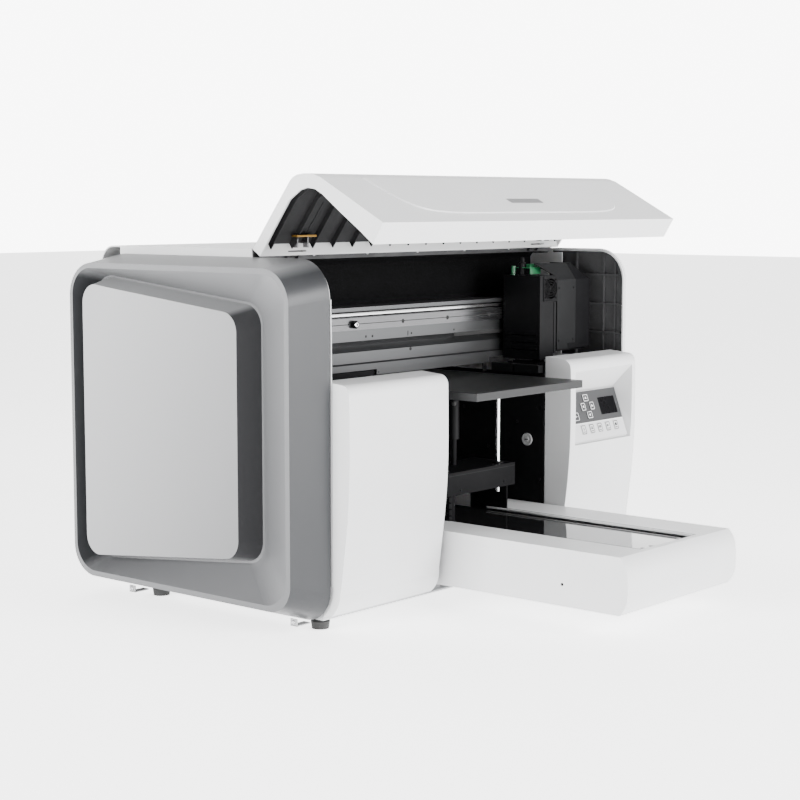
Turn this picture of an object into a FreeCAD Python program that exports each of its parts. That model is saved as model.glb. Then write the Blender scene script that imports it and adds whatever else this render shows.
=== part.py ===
import FreeCAD, Part
import math, os
from FreeCAD import Vector as V

# Flatbed UV printer. Millimetres. +X is right seen from the front, -Y is the front, +Z is up.
# The origin is at the middle of the footprint box, on the floor.
os.makedirs("parts", exist_ok=True)

# ---------------------------------------------------------------- driving dimensions
Y_MID = 8.375         # the body was laid out from the seam line; this centres it in Y
W2 = 547.2            # from the middle of the body to the rim of the deep left end cover
W_RIGHT = 474.0       # from the middle of the body to the flat right side cover
X_MID = (W_RIGHT - W2) / 2.0
SEAM = 458.4          # half width at the seam between end cover and body
RIM_Y0, RIM_Y1, RIM_Z0, RIM_Z1 = -68.0, 511.0, 45.0, 645.0
SEAM_Y0, SEAM_Y1, SEAM_Z0, SEAM_Z1 = -81.5, 525.0, 16.5, 660.0
SKIN = 3.0            # wall of the moulded covers
TOP_Z = 675.0         # top of the rear cover
FLOOR_PAN_Z = 18.0
FACE_Y = -121.0       # front-most line of the two front covers
COVER_BACK_Y = -58.0
COVER_TOP_Z = 449.0
LFC_X0, LFC_X1 = -452.0, -176.5
RFC_X0, RFC_X1 = 212.5, 452.0
HOUS_X0, HOUS_X1 = -163.0, 207.0
HOUS_Y0, HOUS_Y1 = -491.5, 500.0
HOUS_Z0, HOUS_Z1 = 41.0, 145.0
HOUS_BULGE = 33.5     # how far the rounded front of the table housing stands out
SLOT_X0, SLOT_X1, SLOT_Y0 = -76.0, 115.6, -477.5
TC_X = 19.8           # middle of the table in X
PLAT_W, PLAT_L, PLAT_T = 340.0, 450.0, 15.0
PLAT_Y0, PLAT_Z = -165.5, 392.0
POST_DX_L, POST_DX_R, POST_Y, POST_R = 94.0, 79.6, -24.0, 4.0   # posts left and right of the platform's centre
BOX_X0, BOX_X1, BOX_Y0, BOX_Y1, BOX_Z0, BOX_Z1 = -90.0, 130.0, -44.0, 60.0, 193.0, 238.0
LSCREW_Y, LSCREW_R = 26.0, 6.0
YSCREW_Z, YSCREW_R = 60.5, 8.0
YRAIL_XS = (-100.0, 140.0)
BEAM_X = 452.0
RAIL_Z0, RAIL_Z1, RAIL_Y0, RAIL_Y1 = 516.0, 539.6, 84.0, 92.0
PULLEY_R, PULLEY_X, PULLEY_Y = 12.0, 428.0, 105.0
BELT_Z0, BELT_Z1 = 543.2, 548.2
CAR_X0, CAR_Y0, CAR_Z0, CAR_Z1 = 252.0, -14.0, 434.0, 607.5
HINGE_Y, HINGE_Z, HINGE_R = 101.0, 666.0, 4.0
HINGES = (-361.0, 382.0)
RUN = 0.05            # radial clearance of a running fit
PANEL_TILT = 19.9     # degrees that the control panel leans back
PANEL_Y, PANEL_Z = -118.0, 271.5
PANEL_X0, PANEL_X1, PANEL_S = 232.0, 425.5, 104.0
KEY_TRAVEL = 0.8

made = {}

def save(name, shape):
    """Keeps the piece, and writes it moved so that the footprint box is centred on the origin."""
    if isinstance(shape, (list, tuple)):
        shape = Part.makeCompound(list(shape))
    made[name] = shape
    out = shape.copy()
    out.translate(V(-X_MID, -Y_MID, 0))
    out.exportStep("parts/%s.step" % name)

def box(x0, x1, y0, y1, z0, z1):
    return Part.makeBox(x1 - x0, y1 - y0, z1 - z0, V(x0, y0, z0))

def cyl(r, p, d, h):
    return Part.makeCylinder(r, h, V(*p), V(*d))

def tube(r, ri, p, d, h):
    q = V(*p) - V(*d).normalize() * 1.0
    return cyl(r, p, d, h).cut(Part.makeCylinder(ri, h + 2.0, q, V(*d)))

def poly_x(pts, x0, x1):
    """Prism along X with the outline pts = [(y, z), ...]."""
    w = Part.makePolygon([V(x0, y, z) for y, z in pts] + [V(x0, pts[0][0], pts[0][1])])
    return Part.Face(w).extrude(V(x1 - x0, 0, 0))

def poly_y(pts, y0, y1):
    w = Part.makePolygon([V(x, y0, z) for x, z in pts] + [V(pts[0][0], y0, pts[0][1])])
    return Part.Face(w).extrude(V(0, y1 - y0, 0))

def poly_z(pts, z0, z1):
    w = Part.makePolygon([V(x, y, z0) for x, y in pts] + [V(pts[0][0], pts[0][1], z0)])
    return Part.Face(w).extrude(V(0, 0, z1 - z0))

def mirror_x(s):
    return s.mirror(V(0, 0, 0), V(1, 0, 0))

def soft_fillet(shape, r, pick):
    """Rounds the edges that pick() chooses; leaves the shape sharp where the rounding doesn't close."""
    edges = [e for e in shape.Edges if pick(e)]
    try:
        out = shape.makeFillet(r, edges)
        if out.isValid() and out.Volume > 0.5 * shape.Volume:
            return out
    except Exception:
        pass
    return shape

def along(e, axis):
    a, b = e.Vertexes[0].Point, e.Vertexes[-1].Point
    d = b - a
    return d.Length > 1e-6 and abs(abs(d.normalize().dot(V(*axis))) - 1) < 1e-6

def round_rect(x, y0, y1, z0, z1, r_tf, r_tb, r_bf, r_bb):
    """Rounded outline in the plane X = x: top front, top back, bottom front, bottom back radii."""
    k = math.sqrt(0.5)
    L = lambda a, b: Part.LineSegment(V(x, *a), V(x, *b)).toShape()
    def A(c, r, sy, sz, first):
        p = (c[0] + sy * r, c[1]); q = (c[0], c[1] + sz * r)
        m = (c[0] + sy * r * k, c[1] + sz * r * k)
        a, b = (p, q) if first == "y" else (q, p)
        return Part.Arc(V(x, *a), V(x, *m), V(x, *b)).toShape()
    e = [
        L((y0, z0 + r_bf), (y0, z1 - r_tf)),
        A((y0 + r_tf, z1 - r_tf), r_tf, -1, 1, "y"),
        L((y0 + r_tf, z1), (y1 - r_tb, z1)),
        A((y1 - r_tb, z1 - r_tb), r_tb, 1, 1, "z"),
        L((y1, z1 - r_tb), (y1, z0 + r_bb)),
        A((y1 - r_bb, z0 + r_bb), r_bb, 1, -1, "y"),
        L((y1 - r_bb, z0), (y0 + r_bf, z0)),
        A((y0 + r_bf, z0 + r_bf), r_bf, -1, -1, "z"),
    ]
    return Part.Wire(e)

def round_quad(x, pts, r):
    """Quadrilateral in the plane X = x, corners rounded by r. pts = [(y, z)] going round."""
    es, n = [], len(pts)
    corners = []
    for i in range(n):
        p = V(x, *pts[i]); a = V(x, *pts[i - 1]); b = V(x, *pts[(i + 1) % n])
        u = (a - p).normalize(); w = (b - p).normalize()
        half = math.acos(max(-1, min(1, u.dot(w)))) / 2
        t = r / math.tan(half)
        bis = (u + w).normalize()
        c = p + bis * (r / math.sin(half))
        corners.append((p + u * t, c - bis * r, p + w * t))
    for i in range(n):
        s, m, f = corners[i]
        es.append(Part.Arc(s, m, f).toShape())
        nxt = corners[(i + 1) % n][0]
        es.append(Part.LineSegment(f, nxt).toShape())
    return Part.Wire(es)

def loft(*wires):
    return Part.makeLoft(list(wires), True, True)

# ---------------------------------------------------------------- end covers (left modelled, right mirrored)
RX = -W2
rim = round_rect(RX, RIM_Y0, RIM_Y1, RIM_Z0, RIM_Z1, 64, 64, 52, 58)
seam = round_rect(-SEAM, SEAM_Y0, SEAM_Y1, SEAM_Z0, SEAM_Z1, 68, 72, 60, 66)
outer = loft(rim, seam)
FLOOR_X = RX + 53.0                       # bottom of the recess in the cover's face
# plaque outline, wider at the back than at the front
PLQ = [(61.0, 128.0), (61.0, 563.0), (479.0, 608.0), (479.0, 84.0)]
PLQ_BASE = [(50.0, 118.0), (50.0, 574.0), (489.0, 620.0), (489.0, 73.0)]
dish_floor = round_quad(FLOOR_X, [(46.0, 114.0), (46.0, 578.0), (493.0, 624.0), (493.0, 69.0)], 40.0)
# the dish is a ruled surface from the lip down to the floor outline
lip_w = round_quad(RX - 0.5, [(RIM_Y0 + 9.5, RIM_Z0 + 10), (RIM_Y0 + 9.5, RIM_Z1 - 9.5), (RIM_Y1 - 8, RIM_Z1 - 9.5), (RIM_Y1 - 8, RIM_Z0 + 10)], 52.0)
dish = loft(lip_w, dish_floor)
cav = loft(round_rect(RX + SKIN, RIM_Y0 + 3.4, RIM_Y1 - 3.4, RIM_Z0 + 3.6, RIM_Z1 - 3.4, 61, 61, 49, 55),
           round_rect(-SEAM + 1.0, SEAM_Y0 + 3.2, SEAM_Y1 - 3.2, SEAM_Z0 + 3.2, SEAM_Z1 - 3.2, 65, 69, 57, 63))
dish_back = loft(round_quad(RX + 0.2, [(RIM_Y0 + 5.5, RIM_Z0 + 6), (RIM_Y0 + 5.5, RIM_Z1 - 5.5), (RIM_Y1 - 4, RIM_Z1 - 5.5), (RIM_Y1 - 4, RIM_Z0 + 6)], 54.0),
                 round_quad(FLOOR_X + SKIN, [(43.0, 111.0), (43.0, 581.0), (496.0, 627.0), (496.0, 66.0)], 42.0))
end_cover = outer.cut(cav).fuse(dish_back.common(outer)).cut(dish)
save("left_end_cover", end_cover)
# the right side cover is a shallow white tray over the same seam outline
rc = loft(round_rect(SEAM, SEAM_Y0, SEAM_Y1, SEAM_Z0, SEAM_Z1, 68, 72, 60, 66), round_rect(W_RIGHT - 6.0, SEAM_Y0, SEAM_Y1, SEAM_Z0, SEAM_Z1, 68, 72, 60, 66))
rc = rc.fuse(loft(round_rect(W_RIGHT - 6.0, SEAM_Y0, SEAM_Y1, SEAM_Z0, SEAM_Z1, 68, 72, 60, 66), round_rect(W_RIGHT, SEAM_Y0 + 6, SEAM_Y1 - 6, SEAM_Z0 + 6, SEAM_Z1 - 6, 62, 66, 54, 60)))
rc_in = loft(round_rect(SEAM - 1.0, SEAM_Y0 + SKIN, SEAM_Y1 - SKIN, SEAM_Z0 + SKIN, SEAM_Z1 - SKIN, 65, 69, 57, 63),
             round_rect(W_RIGHT - SKIN - 1.0, SEAM_Y0 + 5.0, SEAM_Y1 - 5.0, SEAM_Z0 + 5.0, SEAM_Z1 - 5.0, 63, 67, 55, 61))
save("right_end_cover", rc.cut(rc_in).removeSplitter())

# raised plaque in the dish, its face leaning in a little towards the front
plq = loft(round_quad(FLOOR_X, PLQ_BASE, 40.0), round_quad(RX + 2.0, PLQ, 36.0))
tilt = Part.makeBox(60, 900, 900, V(-60, -450, -450))
tilt.rotate(V(0, 0, 0), V(0, 0, 1), -2.3)
tilt.translate(V(RX + 5.0, 479.0, 300.0))
plq = plq.cut(tilt)
core = loft(round_quad(FLOOR_X + 0.5, [(54.0, 122.0), (54.0, 570.0), (485.0, 615.5), (485.0, 77.5)], 37.0),
            round_quad(RX + 20.0, [(63.5, 132.5), (63.5, 559.5), (476.0, 603.5), (476.0, 88.5)], 34.0))
plq = plq.cut(core)
save("left_plaque", plq)

# ribbed inner liner of the right end cover, seen past the carriage when the lid is up
liner = Part.Face(round_rect(W_RIGHT - 6.6, SEAM_Y0 + 7.0, SEAM_Y1 - 7.0, SEAM_Z0 + 7.0, SEAM_Z1 - 7.0, 61, 65, 53, 59)).extrude(V(2.2, 0, 0))
inside = Part.Face(round_rect(SEAM - 2.0, SEAM_Y0 + 8.0, SEAM_Y1 - 8.0, SEAM_Z0 + 8.0, SEAM_Z1 - 8.0, 60, 64, 52, 58)).extrude(V(12.0, 0, 0))
ribs = []
for z in (60.0, 200.0, 340.0, 480.0, 541.0, 603.0):
    ribs.append(box(SEAM + 0.6, W_RIGHT - 6.4, -90.0, 560.0, z, z + 3.0).common(inside))
for y in (-60.0, -31.0, 40.0, 120.0, 240.0, 360.0, 470.0):
    ribs.append(box(SEAM + 1.6, W_RIGHT - 6.4, y, y + 3.0, 0.0, 700.0).common(inside))
liner = liner.fuse(ribs)
save("right_cover_liner", liner.removeSplitter())

# ---------------------------------------------------------------- chassis
pan = box(-451, 451, -56, 512, FLOOR_PAN_Z, FLOOR_PAN_Z + 3)
pan = pan.fuse([box(-451, -448, -56, 512, 20, 36), box(448, 451, -56, 512, 20, 36), box(-451, 451, 509, 512, 20, 36),
                box(-451, HOUS_X0 - 6, -56, -53, 20, 38), box(HOUS_X1 + 6, 451, -56, -53, 20, 38)])
sup = [box(HOUS_X0 + 20, HOUS_X0 + 60, y, y + 30, 20, HOUS_Z0) for y in (-40, 200, 430)]
sup += [box(HOUS_X1 - 60, HOUS_X1 - 20, y, y + 30, 20, HOUS_Z0) for y in (-40, 200, 430)]
pan = pan.fuse(sup).removeSplitter()
save("base_pan", pan)

feet = []
for x in (-437.0, 437.0):
    for y in (-36.0, 386.0):
        f = Part.makeCone(15.5, 17.5, 13.5, V(x, y, 0)).fuse(Part.makeCone(17.5, 13.0, 4.5, V(x, y, 13.5)))
        feet.append(f.removeSplitter())
save("rubber_feet", feet)

# outline of the lid as it stands open: outer skin from the hinge to the lower lip, then the inside
OUT = [(106.1, 673.7), (95.7, 689.0), (55.1, 742.2), (12.8, 796.4), (6.0, 802.0), (-4.0, 806.2), (-18.7, 808.0), (-32.0, 808.0), (-43.5, 806.5), (-59.1, 801.3), (-105.7, 776.6), (-151.5, 751.9), (-203.2, 724.1)]
INN = [(-180.7, 687.0), (-151.3, 709.4), (-105.6, 741.4), (-63.6, 772.1), (-47.1, 780.8), (-28.1, 783.4), (-11.2, 779.2), (15.6, 761.9), (55.0, 708.5), (88.5, 661.6)]
LX = 457.0
LID_SWING = 53.0
def swing(shape, deg):
    c = shape.copy()
    c.rotate(V(0, HINGE_Y, HINGE_Z), V(1, 0, 0), deg)
    return c
# space taken by the closed lid, with a little to spare, which the side frames stay out of
LID_ROOM = []
for dy, dz in ((0, 0), (3.0, -3.0), (3.0, 0), (0, -3.0), (1.5, -3.5)):
    c = swing(poly_x(OUT + INN, -LX, LX), LID_SWING)
    c.translate(V(0, dy, dz))
    LID_ROOM.append(c)

def frame_plate(sign):
    """Side frame: outer plate with a window ahead of the beam, and a front flange."""
    o = Part.Face(round_rect(-455.0, SEAM_Y0 + 4.5, SEAM_Y1 - 8, 23, SEAM_Z1 - 6, 62, 66, 54, 60)).extrude(V(2.5, 0, 0))
    w = Part.Face(round_rect(-456.0, -62.0, 74.0, 452.0, 642.0, 48, 20, 12, 12)).extrude(V(5, 0, 0))
    o = o.cut(w)
    fl = box(-455.0, -452.5, -81.0, -76.5, 84.0, 590.0)
    s = o.fuse(fl).cut(LID_ROOM)
    if sign > 0:          # the right one is low at the front, so that the ribbed cover shows behind it
        s = s.cut(box(-460.0, -440.0, -100.0, 74.0, 430.0, 700.0))
    return s if sign < 0 else mirror_x(s)
save("side_frames", [frame_plate(-1), frame_plate(1)])

# rear top cover: flat top, rounded back, down to the rear panel
def bent(t0, t1, x0, x1, y_front, z_low):
    """Sheet between offsets t0 and t1 inside the outline."""
    def wire(t):
        r = 34.0 - t
        pts = []
        for i in range(13):
            a = math.pi / 2 * (1 - i / 12.0)
            pts.append((491.0 + r * math.cos(a), TOP_Z - 34.0 + r * math.sin(a)))
        return pts
    o = [(y_front, TOP_Z - t0)] + wire(t0) + [(525.0 - t0, z_low)]
    i = [(525.0 - t1, z_low)] + wire(t1)[::-1] + [(y_front, TOP_Z - t1)]
    return poly_x(o + i, x0, x1)
top = bent(0.0, 2.5, -455.0, 455.0, 111.5, 470.0)
top = top.fuse([box(-455.0, -452.5, 111.5, 470.0, 656.5, 673.0), box(452.5, 455.0, 111.5, 470.0, 656.5, 673.0)])
save("top_rear_cover", top.removeSplitter())

rear = box(-452, 452, 516, 518.5, 24, 469)
for i in range(9):
    for j in range(2):
        x = -60 + i * 16 if j else 200 + i * 16
        rear = rear.cut(box(x, x + 6, 510, 520, 320, 400))
rear = rear.cut(box(-400.4, -367.6, 510, 522, 59.6, 84.4)).cut(box(-355.2, -341.8, 510, 522, 61.3, 82.7))
save("rear_panel", rear)

rail = poly_x([(104.5, 653.0), (104.5, 671.3), (110.5, 671.3), (110.5, 667.0), (107.0, 667.0), (107.0, 653.0)], -438.0, 452.0)
for hx in HINGES:
    rail = rail.cut(cyl(9.2, (hx - 11, HINGE_Y, HINGE_Z), (1, 0, 0), 22.0))
    for k in (-1, 1):
        lug = cyl(8.5, (hx + k * 14 - 3, HINGE_Y, HINGE_Z), (1, 0, 0), 6.0).fuse(box(hx + k * 14 - 3, hx + k * 14 + 3, 97.0, 104.6, 655.0, HINGE_Z))
        rail = rail.fuse(lug)
    rail = rail.cut(cyl(HINGE_R + RUN, (hx - 20.6, HINGE_Y, HINGE_Z), (1, 0, 0), 41.2))
save("hinge_rail", rail.removeSplitter())

inner_panel = poly_x([(111.0, 649.5), (111.0, 651.5), (153.0, 651.5), (160.0, 640.0), (160.0, 440.0), (158.0, 440.0), (158.0, 639.3), (151.8, 649.5)], -451.5, 451.5)
save("rear_inner_panel", inner_panel)

# ---------------------------------------------------------------- front covers
def cover_section(off, x, back):
    """Face in the plane X = x: the side outline of a front cover, moved in by off."""
    y = lambda v: v + off
    front = [(-120.6, 424.0), (-121.3, 395.0), (-121.6, 350.0), (-121.5, 305.0), (-120.2, 260.0), (-117.6, 220.0),
             (-114.2, 185.0), (-109.8, 150.0), (-105.2, 115.0), (-100.6, 82.0), (-97.6, 68.0)]
    fp = [V(x, y(a), b) for a, b in front]
    sp = Part.BSplineCurve(); sp.interpolate(fp)
    top_back = V(x, back, 446.0 - off)
    top_in = V(x, y(-101.0), 442.5 - off)
    mid = V(x, y(-114.8), 437.0 - off * 0.8)
    low_mid = V(x, y(-90.5), 44.0 + off * 0.7)
    low = V(x, y(-77.0), 29.0 + off)
    low_back = V(x, back, 24.0 + off)
    es = [Part.LineSegment(top_back, top_in).toShape(), Part.Arc(top_in, mid, fp[0]).toShape(), sp.toShape(),
          Part.Arc(fp[-1], low_mid, low).toShape(), Part.LineSegment(low, low_back).toShape(), Part.LineSegment(low_back, top_back).toShape()]
    return Part.Face(Part.Wire(es))

def cover_shell(x0, x1, round_side):
    o = cover_section(0.0, x0, COVER_BACK_Y).extrude(V(x1 - x0, 0, 0))
    xr = x1 if round_side > 0 else x0
    o = soft_fillet(o, 5.0, lambda e: all(abs(v.Point.x - xr) < 1e-6 for v in e.Vertexes) and e.CenterOfMass.y < COVER_BACK_Y - 2 and e.CenterOfMass.z > 50)
    i = cover_section(SKIN, x0 + SKIN, COVER_BACK_Y + 1.0).extrude(V(x1 - x0 - 2 * SKIN, 0, 0))
    return o, o.cut(i)

lo, lshell = cover_shell(LFC_X0, LFC_X1, 1)
save("left_front_cover", lshell)

ro, rshell = cover_shell(RFC_X0, RFC_X1, 1)
ct, st = math.cos(math.radians(PANEL_TILT)), math.sin(math.radians(PANEL_TILT))
def pp(x, s, n):
    """Point on the control panel: x across, s up the slope, n out of its face."""
    return V(x, PANEL_Y + s * st - n * ct, PANEL_Z + s * ct + n * st)
def pocket_solid(g, depth):
    """Wedge-shaped pocket as a polyhedron: flat sides, sloping floor, slanted roof, right wall turned outwards."""
    L = [V(229.5 - g, -140.0, 265.0 - g), pp(230.5 - g, -1.0 - g, -depth), pp(230.5 - g, 106.0 + g, -depth), V(229.5 - g, -122.0, 418.0 + g), V(229.5 - g, -140.0, 426.0 + g)]
    R = [V(437.5 + g, -140.0, 265.0 - g), pp(430.0 + g, -1.0 - g, -depth), pp(427.0 + g, 106.0 + g, -depth), V(436.5 + g, -122.0, 421.0 + g), V(437.0 + g, -140.0, 429.0 + g)]
    faces = []
    def tri(*p):
        faces.append(Part.Face(Part.makePolygon(list(p) + [p[0]])))
    n = len(L)
    for k in range(1, n - 1):
        tri(L[0], L[k], L[k + 1]); tri(R[0], R[k], R[k + 1])
    for k in range(n):
        j = (k + 1) % n
        tri(L[k], R[k], R[j]); tri(L[k], R[j], L[j])
    sh = Part.makeShell(faces)
    s = Part.makeSolid(sh)
    if s.Volume < 0:
        s.reverse()
    return s
big = pocket_solid(2.6, 9.0).common(ro)
rcover = rshell.fuse(big).cut(pocket_solid(0.0, 6.4))
save("right_front_cover", rcover)

# control panel tray: face plate with a skirt, window and key holes
def slab(x0, x1, s0, s1, n0, n1):
    p = [pp(x0, s0, n0), pp(x1, s0, n0), pp(x1, s1, n0), pp(x0, s1, n0)]
    f = Part.Face(Part.makePolygon(p + [p[0]]))
    d = pp(x0, s0, n1) - pp(x0, s0, n0)
    return f.extrude(d)
panel = slab(PANEL_X0, PANEL_X1, 0.6, PANEL_S, -6.2, 0.0).cut(slab(PANEL_X0 + 3, PANEL_X1 - 3, 3.6, PANEL_S - 3, -7.0, -2.0))
LCD = (354.0, 414.0, 50.0, 87.0)
panel = panel.cut(slab(LCD[0], LCD[1], LCD[2], LCD[3], -3.0, 1.0))
KEYS = {  # name: (x, s, half width, half height)
    "key_up": (311.0, 89.4, 8.6, 7.4), "key_left": (295.5, 71.4, 7.2, 8.2), "key_right": (326.5, 71.4, 7.2, 8.2),
    "key_down": (311.0, 53.0, 8.6, 7.4), "key_enter": (262.0, 53.0, 9.0, 8.6),
    "key_f1": (276.0, 24.0, 7.4, 9.4), "key_f2": (305.2, 24.0, 7.4, 9.4), "key_f3": (334.4, 24.0, 7.4, 9.4),
    "key_f4": (363.6, 24.0, 7.4, 9.4), "key_f5": (392.8, 24.0, 7.4, 9.4)}
G = 0.35
for k, (kx, ks, hw, hh) in KEYS.items():
    panel = panel.cut(slab(kx - hw - G, kx + hw + G, ks - hh - G, ks + hh + G, -3.0, 1.0))
save("control_panel", panel)
lcd = slab(LCD[0] + 0.1, LCD[1] - 0.1, LCD[2] + 0.1, LCD[3] - 0.1, -2.4, -0.4)
save("lcd_screen", lcd)
for k, (kx, ks, hw, hh) in KEYS.items():
    body = slab(kx - hw, kx + hw, ks - hh, ks + hh, -4.2, 1.4)
    nrm = (pp(0, 0, 1) - pp(0, 0, 0)).normalize()
    body = soft_fillet(body, 2.2, lambda e: along(e, (nrm.x, nrm.y, nrm.z)))
    topd = pp(kx, ks, 1.4)
    body = soft_fillet(body, 0.6, lambda e: all(abs((v.Point - topd).dot(nrm)) < 1e-5 for v in e.Vertexes))
    save(k, body)

# black walls each side of the opening
wl = box(-176.0, -173.5, -57.0, 500.0, 40.0, 427.0)
wr = box(209.6, 212.0, -57.0, 500.0, 40.0, 411.5)
wr = wr.fuse(box(209.6, 212.0, -57.0, -30.0, 411.0, 427.0))
save("opening_walls", [wl, wr])

# ---------------------------------------------------------------- table housing
def bulge_pts(t):
    c = []
    zc = (HOUS_Z0 + HOUS_Z1) / 2
    hz = (HOUS_Z1 - HOUS_Z0) / 2
    for i in range(25):
        u = -1 + 2 * i / 24.0
        d = HOUS_BULGE * 0.5 * (1 - abs(u) ** 3.2)
        c.append((HOUS_Y0 - d + t, zc + u * (hz - t)))
    return c
T = 2.5
ob, ib = bulge_pts(0.0), bulge_pts(T)
sec_o = ob + [(HOUS_Y1, HOUS_Z1), (HOUS_Y1, HOUS_Z0)]
sec_i = ib + [(HOUS_Y1 + 5, HOUS_Z1 - T), (HOUS_Y1 + 5, HOUS_Z0 + T)]
h = poly_x(sec_o, HOUS_X0, HOUS_X1).cut(poly_x(sec_i, HOUS_X0 + T, HOUS_X1 - T))
slot = poly_z([(SLOT_X0, SLOT_Y0), (SLOT_X1, SLOT_Y0), (SLOT_X1, 11.0), (HOUS_X1 - T - 0.5, 79.5), (HOUS_X1 - T - 0.5, 600.0),
               (HOUS_X0 + T + 0.5, 600.0), (HOUS_X0 + T + 0.5, 79.5), (SLOT_X0, 11.0)], HOUS_Z1 - T - 1.0, HOUS_Z1 + 1.0)
h = h.cut(slot)
# ledges that carry the cover plate
h = h.fuse([box(SLOT_X0 + 10, SLOT_X1 - 8, -498.0, -446.0, 133.8, 136.3), box(-34.0, 92.0, 426.0, 440.0, 133.8, 136.3),
            box(-34.0, -14.0, 426.0, 440.0, HOUS_Z0 + T - 0.5, 136.0), box(54.0, 92.0, 426.0, 440.0, HOUS_Z0 + T - 0.5, 136.0)])
h = h.cut(cyl(3.0, (HOUS_X0 - 2, -369.5, 80.6), (1, 0, 0), 8.0))
save("table_housing", h)
save("housing_plate", box(-46.0, 108.4, -470.0, 440.0, 136.4, 138.6))

rails = []
for x in YRAIL_XS:
    r = poly_y([(x - 7, HOUS_Z0 + T), (x + 7, HOUS_Z0 + T), (x + 7, 51.0), (x + 5, 53.0), (x + 7, 55.0), (x + 7, 58.0), (x - 7, 58.0), (x - 7, 55.0), (x - 5, 53.0), (x - 7, 51.0)], -462.0, 388.0)
    rails.append(r)
for y in (-480.0, 392.0):
    b = box(TC_X - 22, TC_X + 22, y, y + 12, HOUS_Z0 + T, 74.0).cut(cyl(YSCREW_R + RUN, (TC_X, y - 2, YSCREW_Z), (0, 1, 0), 16.0))
    rails.append(b)
save("table_rails", rails)
save("table_screw", cyl(YSCREW_R, (TC_X, -478.0, YSCREW_Z), (0, 1, 0), 884.0))

# ---------------------------------------------------------------- table: saddle, lift box, bushings, screw, platform
sad = box(-128, 168, -70, 150, 76.0, 82.0)
add = []
for x in YRAIL_XS:
    for y in (-66, 96):
        blk = poly_y([(x - 22, 46.0), (x - 7.5, 46.0), (x - 7.5, 58.4), (x + 7.5, 58.4), (x + 7.5, 46.0), (x + 22, 46.0), (x + 22, 76.5), (x - 22, 76.5)], y, y + 50)
        add.append(blk)
add.append(box(TC_X - 18, TC_X + 18, 20, 64, 50.0, 76.5))
add.append(box(-69.0, -55.0, -38.0, 54.0, 81.0, BOX_Z0).cut(cyl(6.0, (TC_X - POST_DX_L, POST_Y, 128.0), (0, 0, 1), 80.0)).cut(cyl(9.6, (TC_X - POST_DX_L, POST_Y, 189.0), (0, 0, 1), 8.0)))
add.append(box(110.4, 113.6, -38.0, 54.0, 81.0, BOX_Z0))
sad = sad.fuse(add).cut(cyl(YSCREW_R + RUN, (TC_X, 10, YSCREW_Z), (0, 1, 0), 64.0)).removeSplitter()
save("table_saddle", sad)

bx = box(BOX_X0, BOX_X1, BOX_Y0, BOX_Y1, BOX_Z0, BOX_Z1).cut(box(BOX_X0 + 2.5, BOX_X1 - 2.5, BOX_Y0 + 2.5, BOX_Y1 - 2.5, BOX_Z0 + 2.5, BOX_Z1 - 2.5))
for dx in (-POST_DX_L, POST_DX_R):
    bx = bx.cut(cyl(9.0, (TC_X + dx, POST_Y, BOX_Z0 - 5), (0, 0, 1), 60.0))
bx = bx.cut(cyl(LSCREW_R + 1.0, (TC_X, LSCREW_Y, BOX_Z1 - 6), (0, 0, 1), 12.0))
bx = bx.fuse(box(TC_X - 21, TC_X + 21, LSCREW_Y - 21, LSCREW_Y + 21, BOX_Z0 + 2.0, BOX_Z0 + 34)).removeSplitter()   # lift motor
save("lift_box", bx)
bush = []
for dx in (-POST_DX_L, POST_DX_R):
    p = (TC_X + dx, POST_Y)
    b = cyl(8.8, (p[0], p[1], BOX_Z0 - 2.0), (0, 0, 1), BOX_Z1 - BOX_Z0 + 2.0).fuse(cyl(12.0, (p[0], p[1], BOX_Z1), (0, 0, 1), 3.2))
    bush.append(b.cut(cyl(POST_R + RUN, (p[0], p[1], BOX_Z0 - 10), (0, 0, 1), 80.0)).removeSplitter())
save("guide_bushings", bush)
save("lift_screw", cyl(LSCREW_R, (TC_X, LSCREW_Y, BOX_Z0 + 34.5), (0, 0, 1), 340.0 - BOX_Z0 - 34.5))

plat = box(TC_X - PLAT_W / 2, TC_X + PLAT_W / 2, PLAT_Y0, PLAT_Y0 + PLAT_L, PLAT_Z, PLAT_Z + PLAT_T)
plat = soft_fillet(plat, 1.0, lambda e: True)
save("platform", plat)
# the left post is shorter, so that it clears the housing's top when the table is out and the platform down
posts = [cyl(POST_R, (TC_X + dx, POST_Y, pz), (0, 0, 1), PLAT_Z - pz) for dx, pz in ((-POST_DX_L, 187.0), (POST_DX_R, 180.0))]
save("guide_posts", posts)
nut = tube(11.0, LSCREW_R + RUN, (TC_X, LSCREW_Y, 290.0), (0, 0, 1), 30.0)
slv = tube(11.0, LSCREW_R + 2.0, (TC_X, LSCREW_Y, 320.0), (0, 0, 1), PLAT_Z - 320.0)
fln = tube(20.0, LSCREW_R + 2.0, (TC_X, LSCREW_Y, PLAT_Z - 5.0), (0, 0, 1), 5.0)
save("lift_nut_tube", nut.fuse([slv, fln]).removeSplitter())

# ---------------------------------------------------------------- gantry
sec = [(86.0, 559.0), (86.0, 552.0), (122.0, 552.0), (122.0, 540.4), (92.0, 540.4), (92.0, 494.0), (99.5, 485.0), (90.5, 473.5), (90.5, 452.5),
       (86.0, 449.5), (86.0, 437.5), (150.0, 437.5), (150.0, 559.0)]
beam = poly_x(sec, -BEAM_X, BEAM_X).cut(poly_x([(104.0, 447.0), (104.0, 530.0), (140.0, 530.0), (140.0, 447.0)], -BEAM_X - 1, BEAM_X + 1))
# pockets for the two pulleys and their shafts
for x in (-PULLEY_X, PULLEY_X):
    beam = beam.cut(box(x - 16, x + 16, 80, 122, 538.0, 562.0))
save("gantry_beam", beam)
xr = box(-440, 440, RAIL_Y0, RAIL_Y1 - 0.0, RAIL_Z0, RAIL_Z1)
xr = xr.cut(box(-441, 441, RAIL_Y0 - 1, RAIL_Y0 + 0.8, 526.8, 528.2))
save("x_linear_rail", xr)
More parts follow.
